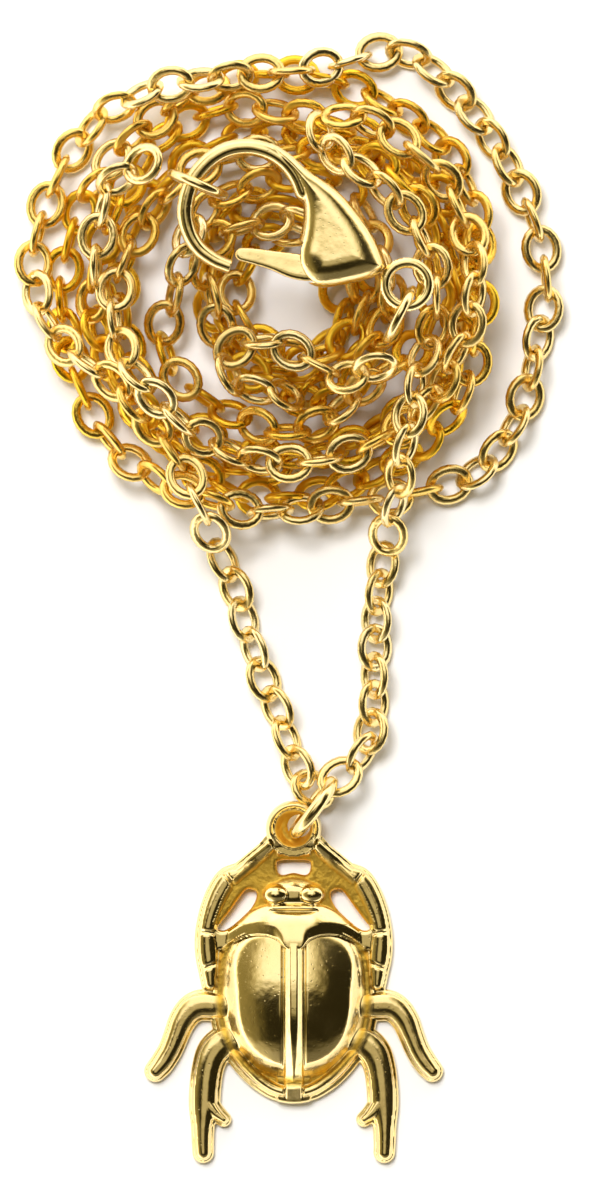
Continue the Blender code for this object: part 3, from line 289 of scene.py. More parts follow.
# Clasp seen from above
HOOK = [(0.54, 47.21, 0.5), (0.13, 48.14, 0.5), (-0.56, 48.95, 0.48), (-1.49, 49.53, 0.48),
        (-2.65, 49.79, 0.48), (-3.87, 49.59, 0.48), (-4.97, 48.89, 0.48), (-5.84, 47.73, 0.48),
        (-6.22, 46.23, 0.48), (-6.01, 44.95, 0.47), (-5.43, 43.96, 0.46), (-4.62, 43.33, 0.44),
        (-3.95, 43.03, 0.42), (-3.4, 42.84, 0.42)]
NOSE = (-3.62, 42.92, -0.33)  # where the hook's end is cut off, and the heading of the cut's normal
NOSE_REACH = 1.0
CLASP_BODY = [(-1.33, 50.0), (-0.97, 49.06), (-0.14, 48.17), (0.39, 47.11), (0.57, 46.17),
              (0.45, 44.98), (0.15, 43.8), (0.27, 42.85), (0.81, 42.02), (1.63, 41.73),
              (2.93, 41.9), (4.47, 42.26), (5.12, 42.73), (5.18, 43.2), (4.59, 44.63),
              (3.64, 46.05), (2.34, 47.41), (0.8, 48.47), (-0.26, 49.42)]
CLASP_NECK = (-1.0, 49.5)    # where the body starts to swell, and where it is full
CLASP_HEEL = (2.9, 42.6)
TAIL_LOOP_CENTRE = (6.5, 41.9)
LEVER = [(-2.98, 43.62, 0.38), (-2.39, 43.53, 0.45), (-1.21, 43.28, 0.55), (-0.02, 42.96, 0.72),
         (0.8, 42.82, 0.72), (1.42, 42.8, 0.62)]
PIVOT = (1.42, 42.8)
END_RING_HEADING = 157.5
TAIL_RING_HEADING = 63.0

# Patterns on the metal: waves for each metre, and levels of detail
BROAD = (420.0, 3.0)
SWELL = (950.0, 2.0)
FINE = (2600.0, 4.0)
PITS = 3400.0
PIT_EDGE = (0.05, 0.22)
BUMP_DEPTH = 0.00003

# Studio: slopes from straight up between which each part fades, and its brightness
PANEL_NEAR = (0.05, 0.26)
PANEL_FAR = (1.5, 2.6)
PANEL_SIDES = (0.32, 0.88)
PANEL_SHIFT = 0.18
PANEL_LIGHT = 1.25
WALL_LIGHT = 1.70
OVERHEAD_EDGE = (0.08, 0.28)
OVERHEAD_LIGHT = 0.50
REAR_EDGE = (0.65, 1.1)
REAR_LIGHT = 0.15
REAR_LEFT_LIGHT = 0.22
LEFT_EDGE = (0.4, 1.2)
LEFT_LIGHT = 0.24
CEILING_LIGHT = 0.022
LOWEST_SLOPE = 0.02
WARM_WHITE = (1.0, 0.84, 0.34, 1.0)
PLAIN_WHITE = (1.0, 0.99, 0.97, 1.0)
SOFTBOX_PLACE = (-250.0, 500.0, 1200.0)
SOFTBOX_SIZE = 500.0
SOFTBOX_LIGHT = 22.0
FLOOR_COLOUR = (0.88, 0.87, 0.87, 1.0)
FLOOR_REACH = 600.0
FLOOR_DROP = 0.02

# Camera
VIEW_CENTRE = (0.42, 23.8)
VIEW_HEIGHT = 69.6           # the picture's height on the floor
CAMERA_DISTANCE = 700.0
SENSOR = 36.0


class Wire:
    """A socket's output that Python's operators turn into Math nodes."""

    def __init__(self, graph, output):
        self.graph = graph
        self.output = output

    def math(self, operation, *values):
        return self.graph.add("ShaderNodeMath", {"operation": operation}, list(values))

    def __add__(self, other):
        return self.math("ADD", self, other)

    __radd__ = __add__

    def __sub__(self, other):
        return self.math("SUBTRACT", self, other)

    def __rsub__(self, other):
        return self.math("SUBTRACT", other, self)

    def __mul__(self, other):
        return self.math("MULTIPLY", self, other)

    __rmul__ = __mul__

    def __truediv__(self, other):
        return self.math("DIVIDE", self, other)

    def clamp(self):
        return self.graph.add("ShaderNodeClamp", {}, {"Value": self})

    def ramp(self, low, high):
        """0 at low, 1 at high, with a smooth step between."""
        return self.graph.add("ShaderNodeMapRange", {"interpolation_type": "SMOOTHSTEP"},
                              {"Value": self, "From Min": low, "From Max": high})


class Graph:
    """Adds nodes to a tree; a node's settings come first, then its sockets' values or wires."""

    def __init__(self, tree):
        self.tree = tree

    def add(self, kind, settings, values, output=0):
        node = self.tree.nodes.new(kind)
        for name, value in settings.items():
            setattr(node, name, value)
        pairs = values.items() if isinstance(values, dict) else enumerate(values)
        for key, value in pairs:
            if isinstance(value, Wire):
                self.tree.links.new(value.output, node.inputs[key])
            else:
                node.inputs[key].default_value = value
        return Wire(self, node.outputs[output])

    def mix_colour(self, share, first, second):
        """A colour between two, each a tuple or another wire."""
        node = self.tree.nodes.new("ShaderNodeMix")
        node.data_type = "RGBA"
        for index, value in ((0, share), (6, first), (7, second)):
            if isinstance(value, Wire):
                self.tree.links.new(value.output, node.inputs[index])
            else:
                node.inputs[index].default_value = value
        return Wire(self, node.outputs[2])


PALE_GOLD = (1.0, 0.83, 0.45, 1.0)
WARM_GOLD = (1.0, 0.74, 0.27, 1.0)
PAINTED_BOUNCE_GOLD = (1.0, 0.62, 0.05, 1.0)


def polished_gold(name, roughness, ripple, grain, painted_bounce, dull):
    """Plated gold with faint ripples and fine pits; in recesses it is warmer, rougher and duller.

    ripple and grain scale the bumps, dull the roughness of recesses, and the argument after grain
    the deeper, warmer gold painted in recesses: painted shade and bounce light.
    """
    material = bpy.data.materials.new(name)
    material.use_nodes = True
    graph = Graph(material.node_tree)
    shader = material.node_tree.nodes["Principled BSDF"]
    place = graph.add("ShaderNodeTexCoord", {}, {}, "Object")
    broad, fine, swell = (
        graph.add("ShaderNodeTexNoise", {}, {"Vector": place, "Scale": scale, "Detail": detail})
        for scale, detail in (BROAD, FINE, SWELL))
    pits = graph.add("ShaderNodeTexVoronoi", {}, {"Vector": place, "Scale": PITS})
    low, tone = (graph.add("ShaderNodeAttribute", {"attribute_name": painted}, {}, "Fac")
                 for painted in ("recess", "tone"))
    warmth = (0.45 + 0.6 * (broad - 0.5) + 0.3 * (fine - 0.5) + 0.35 * tone).clamp()
    colour = graph.mix_colour(warmth, PALE_GOLD, WARM_GOLD)
    # Painted shade and bounce light: recesses and crowded links turn a deeper, warmer gold.
    colour = graph.mix_colour((low * painted_bounce).clamp(), colour, PAINTED_BOUNCE_GOLD)
    pit = 1.0 - pits.ramp(*PIT_EDGE)
    spread = roughness + 0.09 * broad.ramp(0.42, 0.75) + 0.05 * fine.ramp(0.5, 0.8)
    spread = spread + dull * low + 0.10 * pit * grain
    height = swell * ripple + fine * (0.35 * grain) - pit * (0.30 * grain)
    height = height + low * ((4.0 * dull) * swell + (7.0 * dull) * fine)
    bump = graph.add("ShaderNodeBump", {},
                     {"Strength": 1.0, "Distance": BUMP_DEPTH, "Height": height})
    for socket, wire in (("Base Color", colour), ("Roughness", spread), ("Normal", bump)):
        material.node_tree.links.new(wire.output, shader.inputs[socket])
    shader.inputs["Metallic"].default_value = 1.0
    return material


def smooth_curve(points, steps, closed=False):
    """Points along a Catmull-Rom curve through the given points, of any number of columns."""
    knots = np.array(points, dtype=float)
    if closed:
        knots = np.vstack([knots[-1:], knots, knots[:2]])
    else:
        knots = np.vstack([2 * knots[0] - knots[1], knots, 2 * knots[-1] - knots[-2]])
    share = np.linspace(0.0, 1.0, steps, endpoint=False)[:, None]
    spans = []
    for before, start, end, after in zip(knots[:-3], knots[1:-2], knots[2:-1], knots[3:]):
        spans.append(0.5 * (2 * start + (end - before) * share
                            + (2 * before - 5 * start + 4 * end - after) * share ** 2
                            + (3 * start - before - 3 * end + after) * share ** 3))
    if not closed:
        spans.append(knots[-2:-1])
    return np.vstack(spans)


def both_sides(half):
    """A closed outline from its right half, whose two ends lie on the middle line."""
    return half + [(-x, y) for x, y in reversed(half[1:-1])]


def even_points(curve, spacing):
    """Points at an even spacing along a curve, its two ends kept."""
    lengths = np.linalg.norm(np.diff(curve, axis=0), axis=1)
    along = np.concatenate([[0.0], np.cumsum(lengths)])
    count = max(2, round(along[-1] / spacing) + 1)
    places = np.linspace(0.0, along[-1], count)
    return np.column_stack([np.interp(places, along, column) for column in curve.T])


def spaced(low, high, cell):
    """Grid places from low to high, about a cell apart."""
    return np.linspace(low, high, max(2, round((high - low) / cell)))


def ramp(value, low, high):
    """0 below low, 1 above high, and a smooth step between."""
    share = np.clip((value - low) / (high - low), 0.0, 1.0)
    return share * share * (3.0 - 2.0 * share)


def round_profile(share):
    """Quarter circle: 0 at share 0, 1 at share 1."""
    return np.sqrt(np.clip(1.0 - (1.0 - np.clip(share, 0.0, 1.0)) ** 2, 0.0, 1.0))


def soft_max(first, second, blend):
    return 0.5 * (first + second + np.sqrt((first - second) ** 2 + blend ** 2))


def away_from(x, y, centre):
    return np.hypot(x - centre[0], y - centre[1])


def segment_distance(x, y, px, py, qx, qy):
    """Distance to a straight line between two places, and the nearest point's share of it."""
    dx, dy = qx - px, qy - py
    share = np.clip(((x - px) * dx + (y - py) * dy) / (dx * dx + dy * dy), 0.0, 1.0)
    return np.hypot(x - px - share * dx, y - py - share * dy), share


def outline_distance(x, y, outline):
    """Distance to a closed outline, negative inside it."""
    best = np.full(x.shape, FAR)
    inside = np.zeros(x.shape, dtype=bool)
    for (px, py), (qx, qy) in zip(outline, np.roll(outline, -1, axis=0)):
        best = np.minimum(best, segment_distance(x, y, px, py, qx, qy)[0])
        crossed = (py > y) != (qy > y)
        if abs(qy - py) > LEVEL:
            inside ^= crossed & (x < px + (qx - px) * (y - py) / (qy - py))
    return np.where(inside, -best, best)


def limb_distance(x, y, path):
    """Distance to a tapering limb, and how far out across its half width a point lies."""
    best = np.full(x.shape, FAR)
    across = np.full(x.shape, FAR)
    for (px, py, start), (qx, qy, end) in zip(path[:-1], path[1:]):
        away, share = segment_distance(x, y, px, py, qx, qy)
        half = np.maximum(start + (end - start) * share, TINY)
        nearer = away - half < best
        best = np.where(nearer, away - half, best)
        across = np.where(nearer, away / half, across)
    return best, across


def wing_case_distance(x, y):
    """Distance to the egg-shaped outline that both wing cases share, negative inside it."""
    up = y - WING_CASE["middle"]
    front = up > 0
    reach = np.where(front, WING_CASE["front"], WING_CASE["rear"])
    power = np.where(front, WING_CASE["front_power"], WING_CASE["rear_power"])
    wide = np.maximum(np.abs(x), TINY) / WING_CASE["half_width"]
    long = np.maximum(np.abs(up), TINY) / reach
    level = (wide ** power + long ** power) ** (1.0 / power)
    slope = level ** (1.0 - power) * np.hypot(wide ** (power - 1.0) / WING_CASE["half_width"],
                                              long ** (power - 1.0) / reach)
    return (level - 1.0) / np.maximum(slope, TINY)


def crown_height(x, y):
    """The shell that both wing cases are cut from."""
    along = np.where(y > DOME_SUMMIT, DOME_FALL_FRONT, DOME_FALL_REAR)
    return DOME_TOP - DOME_FALL_ACROSS * x ** 2 - along * (y - DOME_SUMMIT) ** 2


def dome_height(x, y):
    """Height of the wing cases: a steep border, the crowned shell, and a suture by the ridge."""
    border = GROOVE_HEIGHT - DOME_BAND_SLOPE * wing_case_distance(x, y)
    crown = crown_height(x, y)
    beside = (np.abs(x) - RIDGE_HALF_WIDTH - SUTURE_OFFSET) / SUTURE_WIDTH
    crown = crown - SUTURE_DEPTH * np.exp(-beside ** 2)
    return -soft_max(-border, -crown, DOME_BLEND)


class ScarabRelief:
    """Outline, face and underside of the casting at any x and y."""

    def __init__(self):
        limbs = (MIDDLE_LEG, HIND_LEG, SPUR, FRONT_LEG, SHIN)
        self.limbs = [smooth_curve(path, LIMB_STEPS) for path in limbs]
        front, rear = PRONOTUM[:PRONOTUM_CORNER], PRONOTUM[PRONOTUM_CORNER:]
        self.front_edge = [(x, y, 0.0) for x, y in smooth_curve(front, EDGE_STEPS)]
        self.rear_edge = [(x, y, 0.0) for x, y in smooth_curve(rear, EDGE_STEPS)]
        self.abdomen, self.head, self.top_window, self.pronotum, self.side_window = (
            smooth_curve(outline, LIMB_STEPS, closed=True)
            for outline in (both_sides(ABDOMEN), both_sides(HEAD), both_sides(TOP_WINDOW),
                            PRONOTUM, SIDE_WINDOW))
        self.collar = smooth_curve(both_sides(COLLAR), EDGE_STEPS, closed=True)

    def box(self):
        """Lowest and highest x and y that the outline reaches."""
        limbs = np.vstack(self.limbs)
        wide = (limbs[:, 0] + limbs[:, 2]).max() + PLATE_MARGIN
        return -wide, wide, (limbs[:, 1] - limbs[:, 2]).min() - PLATE_MARGIN, BAIL_TOP

    def edge(self, x, y):
        """Distance to the whole casting's outline, negative on the metal."""
        side = np.abs(x)
        metal = np.minimum(outline_distance(side, y, self.abdomen),
                           outline_distance(side, y, self.pronotum))
        for limb in self.limbs:
            metal = np.minimum(metal, limb_distance(side, y, limb)[0])
        metal = np.minimum(metal - PLATE_MARGIN, outline_distance(side, y, self.collar))
        metal = np.minimum(metal, away_from(x, y, EYE_CENTRE) - BAIL_RADIUS)
        bore = BORE_RADIUS - away_from(x, y, BORE_CENTRE)
        openings = np.maximum(bore, -outline_distance(x, y, self.top_window))
        openings = np.maximum(openings, -outline_distance(side, y, self.side_window))
        return np.maximum(metal, openings)

    def face(self, x, y):
        """Height of the front above the back."""
        side = np.abs(x)
        height = np.full(x.shape, PLATE_THICKNESS)
        for limb in self.limbs:
            height = np.maximum(height, PLATE_THICKNESS + self.leg_height(side, y, limb))
        height = height - self.creases(side, y) * (height > PLATE_THICKNESS + LEG_FOOT)
        height = height + ARM_CLIMB * ramp(y, *ARM_CLIMB_SPAN)
        body = outline_distance(side, y, self.abdomen)
        floor = ramp(-body, 0.0, GROOVE_SLOPE)
        floor = PLATE_THICKNESS + (GROOVE_HEIGHT - PLATE_THICKNESS) * floor
        rim = RIM_RISE * round_profile(1.0 - np.abs(-body - RIM_INSET) / RIM_HALF_WIDTH)
        rim = rim * ramp(side, *RIM_GAP) * (1.0 - ramp(y, *RIM_TOP))
        height = np.where(body < 0.0, soft_max(height, floor + rim, RIM_BLEND), height)
        wing = -wing_case_distance(x, y)
        height = np.where(wing > 0.0, soft_max(height, dome_height(x, y), WING_BLEND), height)
        height = self.add_ridge(height, side, y)
        height = self.add_pronotum(height, side, x, y)
        height = self.add_head(height, side, x, y)
        height = self.add_bail(height, x, y)
        return self.round_edge(height, x, y)

    def leg_height(self, side, y, limb):
        """A steep foot, then a low crown with a narrow flat crest."""
        across = limb_distance(side, y, limb)[1]
        wall = ramp(1.0 - across, 0.0, LEG_WALL_WIDTH)
        crown = 1.0 - np.clip((across - LEG_CREST) / (1.0 - LEG_CREST), 0.0, 1.0) ** 2
        rise = LEG_WALL_SHARE * wall + (1.0 - LEG_WALL_SHARE) * crown
        return np.where(across < 1.0, LEG_RISE * rise, 0.0)

    def creases(self, side, y):
        """Depth of the joints cut across the front legs."""
        depth = np.zeros(side.shape)
        for middle_x, middle_y, lean, half in LEG_CREASES:
            along_x, along_y = math.cos(lean), math.sin(lean)
            run = (side - middle_x) * along_x + (y - middle_y) * along_y
            away = (y - middle_y) * along_x - (side - middle_x) * along_y
            reach = 1.0 - ramp(np.abs(run), CREASE_FADE * half, half)
            depth = np.maximum(depth, CREASE_DEPTH * reach * np.exp(-(away / CREASE_WIDTH) ** 2))
        return depth

    def add_ridge(self, height, side, y):
        """The ridge between the wing cases, from the pronotum down to a flat tongue on the rim."""
        tongue = TONGUE_HEIGHT - TONGUE_FALL * ramp(-y, *TONGUE_SPAN)
        top = soft_max(crown_height(0.0, y) + RIDGE_PROUD, tongue, TONGUE_BLEND)
        crest = RIDGE_CREST * np.clip((y + CREST_END) / CREST_RUN, 0.0, 1.0)
        crest = np.where(y < -CREST_END, RIDGE_HALF_WIDTH - TONGUE_EDGE, crest)
        slope = np.clip((side - crest) / (RIDGE_HALF_WIDTH - crest), 0.0, 1.0)
        ridge = top - (RIDGE_PROUD + RIDGE_FOOT) * slope
        long = (y < RIDGE_START) & (y > RIDGE_END)
        return np.maximum(height, np.where((side < RIDGE_HALF_WIDTH) & long, ridge, 0.0))

    def add_pronotum(self, height, side, x, y):
        """The shield behind the head; it climbs from its front edge and dips at its rear lobes."""
        inside = -outline_distance(x, y, self.pronotum)
        depth = np.clip(limb_distance(side, y, self.front_edge)[0] / PRONOTUM_DEPTH, 0.0, 1.0)
        shell = PRONOTUM_FRONT + PRONOTUM_RISE * (1.0 - (1.0 - depth) ** 2)
        lip = 1.0 - ramp(limb_distance(side, y, self.rear_edge)[0], 0.0, PRONOTUM_LIP_DEPTH)
        shell = shell - PRONOTUM_LIP * lip * ramp(side, *LIP_START)
        shell = shell - PRONOTUM_SIDE_FALL * np.maximum(side - 1.0, 0.0) ** 2
        shell = shell - PRONOTUM_EDGE_DEPTH * (1.0 - round_profile(inside / PRONOTUM_EDGE))
        return np.where(inside > 0.0, np.maximum(height, shell), height)

    def add_head(self, height, side, x, y):
        """The web between the front legs, the head on it, its eyes and the fold behind them."""
        web = outline_distance(side, y, self.collar)
        height = np.where(web < 0.0, np.maximum(height, WEB_HEIGHT), height)
        inside = -outline_distance(x, y, self.head)
        skull = WEB_HEIGHT + (HEAD_HEIGHT - WEB_HEIGHT) * round_profile(inside / HEAD_EDGE)
        skull = skull - HEAD_FALL * ramp(y, *HEAD_FALL_SPAN)
        height = np.where(inside > 0.0, np.maximum(height, skull), height)
        away = np.hypot((side - EYE_PLACE[0]) / EYE_REACH[0], (y - EYE_PLACE[1]) / EYE_REACH[1])
        dome = np.clip(1.0 - away ** 2, 0.0, 1.0)
        wall = ramp(dome, 0.0, EYE_WALL)
        eye = WEB_HEIGHT + (HEAD_HEIGHT - WEB_HEIGHT) * wall + EYE_RISE * dome
        height = np.where(away < 1.0, soft_max(height, eye, EYE_BLEND), height)
        fold = FOLD_HEIGHT * round_profile(1.0 - np.abs(y - FOLD_PLACE) / FOLD_HALF_WIDTH)
        fold = fold * (1.0 - ramp(side, *FOLD_ENDS))
        neck = np.hypot(side / NECK_REACH[0], (y - NECK_PLACE) / NECK_REACH[1])
        return height + fold - FOLD_HEIGHT * (1.0 - ramp(neck, *NECK_SLOPE))

    def add_bail(self, height, x, y):
        """The eye's rounded rim, its dish, and the bar between it and the web."""
        away = away_from(x, y, EYE_CENTRE)
        crest = BAIL_RADIUS - 0.5 * BAIL_RIM
        bulge = np.sqrt(np.clip(1.0 - ((away - crest) / (0.5 * BAIL_RIM)) ** 2, 0.0, 1.0))
        bulge = bulge * (1.0 - ramp(EYE_CENTRE[1] - y, *BAIL_OPEN))
        rim = BAIL_LIFT + BAIL_SHELF * BAIL_THICKNESS + BAIL_BULGE * BAIL_THICKNESS * bulge
        dish = BAIL_LIFT + BAIL_THICKNESS - BAIL_DISH * ramp(crest - away, *BAIL_DISH_SLOPE)
        inner = np.where(away < crest - BAIL_INNER, dish, np.minimum(rim, dish))
        ring = np.where(away > crest, rim, inner)
        half_length, middle = BAIL_BAR
        bar = WEB_HEIGHT + BAIL_BAR_HEIGHT * (1.0 - ramp(np.abs(y - middle), *BAIL_BAR_SLOPE))
        barred = (np.abs(x) < half_length) & (away > crest)
        height = np.where(barred, np.maximum(height, bar), height)
        return np.where(away < BAIL_RADIUS, ring, height)

    def round_edge(self, height, x, y):
        depth = np.clip(-self.edge(x, y), 0.0, PLATE_EDGE) / PLATE_EDGE
        return height - PLATE_EDGE * (1.0 - round_profile(depth))

    def underside(self, x, y):
        """Height of the underside: flat, and raised under the eye of the bail."""
        return BAIL_LIFT * ramp(y, *LIFT_SPAN) * (1.0 - ramp(np.abs(x), *LIFT_SIDES))


def relief_mesh(name, relief, cell, lift=0.0):
    """Closed mesh between the face and the underside, its outline cut true to the edge function."""
    low_x, high_x, low_y, high_y = relief.box()
    grid_x, grid_y = np.meshgrid(spaced(low_x - GRID_MARGIN, high_x + GRID_MARGIN, cell),
                                 spaced(low_y - GRID_MARGIN, high_y + GRID_MARGIN, cell))
    rows, columns = grid_x.shape
    edge = relief.edge(grid_x, grid_y)
    step = SLOPE_STEP
    near = np.abs(edge) < SNAP_SHARE * cell
    pull_x = (relief.edge(grid_x + step, grid_y) - relief.edge(grid_x - step, grid_y)) / (2 * step)
    pull_y = (relief.edge(grid_x, grid_y + step) - relief.edge(grid_x, grid_y - step)) / (2 * step)
    grid_x = np.where(near, grid_x - edge * pull_x, grid_x)
    grid_y = np.where(near, grid_y - edge * pull_y, grid_y)
    edge = np.where(near, 0.0, edge)
    heights = relief.face(grid_x, grid_y)
    corners = {}
    cuts = {}
    places = []

    def corner(spot):
        if spot not in corners:
            corners[spot] = len(places)
            places.append((grid_x[spot], grid_y[spot]))
        return corners[spot]

    def cut(first, second):
        key = (min(first, second), max(first, second))
        if key not in cuts:
            share = edge[first] / (edge[first] - edge[second])
            cuts[key] = len(places)
            places.append((grid_x[first] + share * (grid_x[second] - grid_x[first]),
                           grid_y[first] + share * (grid_y[second] - grid_y[first])))
        return cuts[key]

    loops = []
    for row in range(rows - 1):
        for column in range(columns - 1):
            ring = [(row, column), (row, column + 1), (row + 1, column + 1), (row + 1, column)]
            if all(edge[spot] >= 0 for spot in ring):
                continue
            rising = abs(heights[ring[0]] - heights[ring[2]])
            falling = abs(heights[ring[1]] - heights[ring[3]])
            halves = [(0, 1, 2), (0, 2, 3)] if rising < falling else [(0, 1, 3), (1, 2, 3)]
            for trio in halves:
                spots = [ring[index] for index in trio]
                if all(edge[spot] >= 0 for spot in spots):
                    continue
                loop = []
                for spot, after in zip(spots, spots[1:] + spots[:1]):
                    if edge[spot] <= 0:
                        loop.append(corner(spot))
                    if edge[spot] * edge[after] < 0:
                        loop.append(cut(spot, after))
                if len(loop) > 2:
                    loops.append(loop)
    plan = np.array(places)
    bottoms = relief.underside(plan[:, 0], plan[:, 1])
    tops = np.maximum(relief.face(plan[:, 0], plan[:, 1]), bottoms + THINNEST)
    count = len(plan)
    upper = np.column_stack([plan, tops + lift])
    lower = np.column_stack([plan, bottoms + lift])
    faces = list(loops)
    faces += [[index + count for index in reversed(loop)] for loop in loops]
    sides = {(first, second) for loop in loops for first, second in zip(loop, loop[1:] + loop[:1])}
    faces += [[second, first, first + count, second + count]
              for first, second in sorted(sides) if (second, first) not in sides]
    mesh = bpy.data.meshes.new(name)
    mesh.from_pydata((np.vstack([upper, lower]) * MM).tolist(), [], faces)
    return mesh


def placed(name, mesh, material):
    mesh.materials.clear()
    mesh.materials.append(material)
    made = bpy.data.objects.new(name, mesh)
    bpy.context.collection.objects.link(made)
    return made


def applied(item):
    """The object with its modifiers turned into plain mesh."""
    bpy.context.view_layer.update()
    graph = bpy.context.evaluated_depsgraph_get()
    mesh = bpy.data.meshes.new_from_object(item.evaluated_get(graph))
    item.modifiers.clear()
    item.data = mesh
    return item


def finished(item, body, slot, *nodes):
    """Smooth shading, the body that the piece rides on and the nodes that it stands for."""
    item.data.shade_smooth()
    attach(item, body)
    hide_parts(*nodes)
    return item


def paint_attribute(mesh, name, values):
    layer = mesh.attributes.new(name, "FLOAT", "POINT")
    layer.data.foreach_set("value", np.asarray(values, dtype=np.float32))


def make_scarab(material):
    relief = ScarabRelief()
    item = placed("scarab_casting", relief_mesh("scarab_casting", relief, SCARAB_CELL), material)
    thin = item.modifiers.new("thin", "DECIMATE")
    triangles = sum(len(face.vertices) - 2 for face in item.data.polygons)
    thin.ratio = min(1.0, SCARAB_FACES / triangles)
    applied(item)
    places = np.array([vertex.co for vertex in item.data.vertices]) / MM
    body = outline_distance(np.abs(places[:, 0]), places[:, 1], relief.abdomen)
    wing = wing_case_distance(places[:, 0], places[:, 1])
    groove = (1.0 - ramp(np.abs(wing - GROOVE_MIDDLE), 0.0, GROOVE_WIDTH)) * (body < 0.0)
    web = 1.0 - ramp(places[:, 2], WEB_HEIGHT, WEB_HEIGHT + WEB_FADE)
    collar = outline_distance(places[:, 0], places[:, 1], relief.collar) < 0.0
    collar &= places[:, 1] > WEB_START
    eye = away_from(places[:, 0], places[:, 1], EYE_CENTRE) - BAIL_RADIUS + BAIL_RIM
    dish = 1.0 - ramp(eye, -DISH_FADE, DISH_FADE)
    # The recess mask gives real roughness, and painted shade and bounce light in the colour.
    paint_attribute(item.data, "recess", np.maximum(np.maximum(groove, web * collar), dish))
    return finished(item, "necklace", "scarab_gold", "scarab")


def tube(name, points, reaches, first_side, material):
    """Closed ring of wire; reaches holds the profile as (angle, radius) pairs."""
    vertices = []
    faces = []
    count = len(points)
    sides = len(reaches)
    side = Vector(first_side)
    for index, point in enumerate(points):
        along = (points[(index + 1) % count] - points[index - 1]).normalized()
        side = (side - along * side.dot(along)).normalized()
        up = side.cross(along)
        for angle, radius in reaches:
            vertices.append((point + (side * math.cos(angle) + up * math.sin(angle)) * radius) * MM)
        for corner in range(sides):
            after = (corner + 1) % sides
            ahead = (index + 1) % count
            faces.append([index * sides + corner, index * sides + after,
                          ahead * sides + after, ahead * sides + corner])
    mesh = bpy.data.meshes.new(name)
    mesh.from_pydata(vertices, [], faces)
    return placed(name, mesh, material)


def make_ring(name, node, heading, lean, diameter, wire, material):
    """Round wire ring on edge in the place of its node, with the joint of its two ends closed."""
    low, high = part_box(node)
    centre = (low + high) * 0.5 / MM
    turn = math.radians(heading)
    tilt = math.radians(lean)
    along = Vector((math.cos(turn), math.sin(turn), 0.0))
    sideways = Vector((-math.sin(turn), math.cos(turn), 0.0))
    up = Vector((0.0, 0.0, 1.0)) * math.cos(tilt) + sideways * math.sin(tilt)
    middle = 0.5 * (diameter - wire)
    points = []
    for index in range(RING_SEGMENTS):
        angle = 2 * math.pi * index / RING_SEGMENTS
        points.append(centre + (along * math.cos(angle) + up * math.sin(angle)) * middle)
    profile = [(2 * math.pi * index / RING_SIDES, 0.5 * wire) for index in range(RING_SIDES)]
    item = tube(name, points, profile, along.cross(up), material)
    return finished(item, "necklace", "clasp_gold", node)


def link_turn(heading, roll, pitch):
    """Rotation that lays a link's long way along the chain."""
    along = Vector((math.cos(heading) * math.cos(pitch), math.sin(heading) * math.cos(pitch),
                    math.sin(pitch)))
    level = Vector((-math.sin(heading), math.cos(heading), 0.0))
    up = along.cross(level)
    across = level * math.cos(roll) + up * math.sin(roll)
    return Matrix((along, across, along.cross(across))).transposed()


def run_turns(places, twist):
    """Rotations of links that follow a run, each rolled a quarter turn from the last."""
    turns = []
    for index, place in enumerate(places):
        ahead = places[min(index + 1, len(places) - 1)]
        behind = places[max(index - 1, 0)]
        run = Vector(ahead) - Vector(behind)
        roll = math.radians((STRAND_ROLL if index % 2 else -STRAND_ROLL) + twist(index))
        turns.append(link_turn(math.atan2(run.y, run.x), roll, math.asin(run.z / run.length)))
    return turns


def group_input(tree, name, kind, value=None):
    socket = tree.interface.new_socket(name, in_out="INPUT", socket_type=kind)
    if value is not None:
        socket.default_value = value
    return socket.identifier


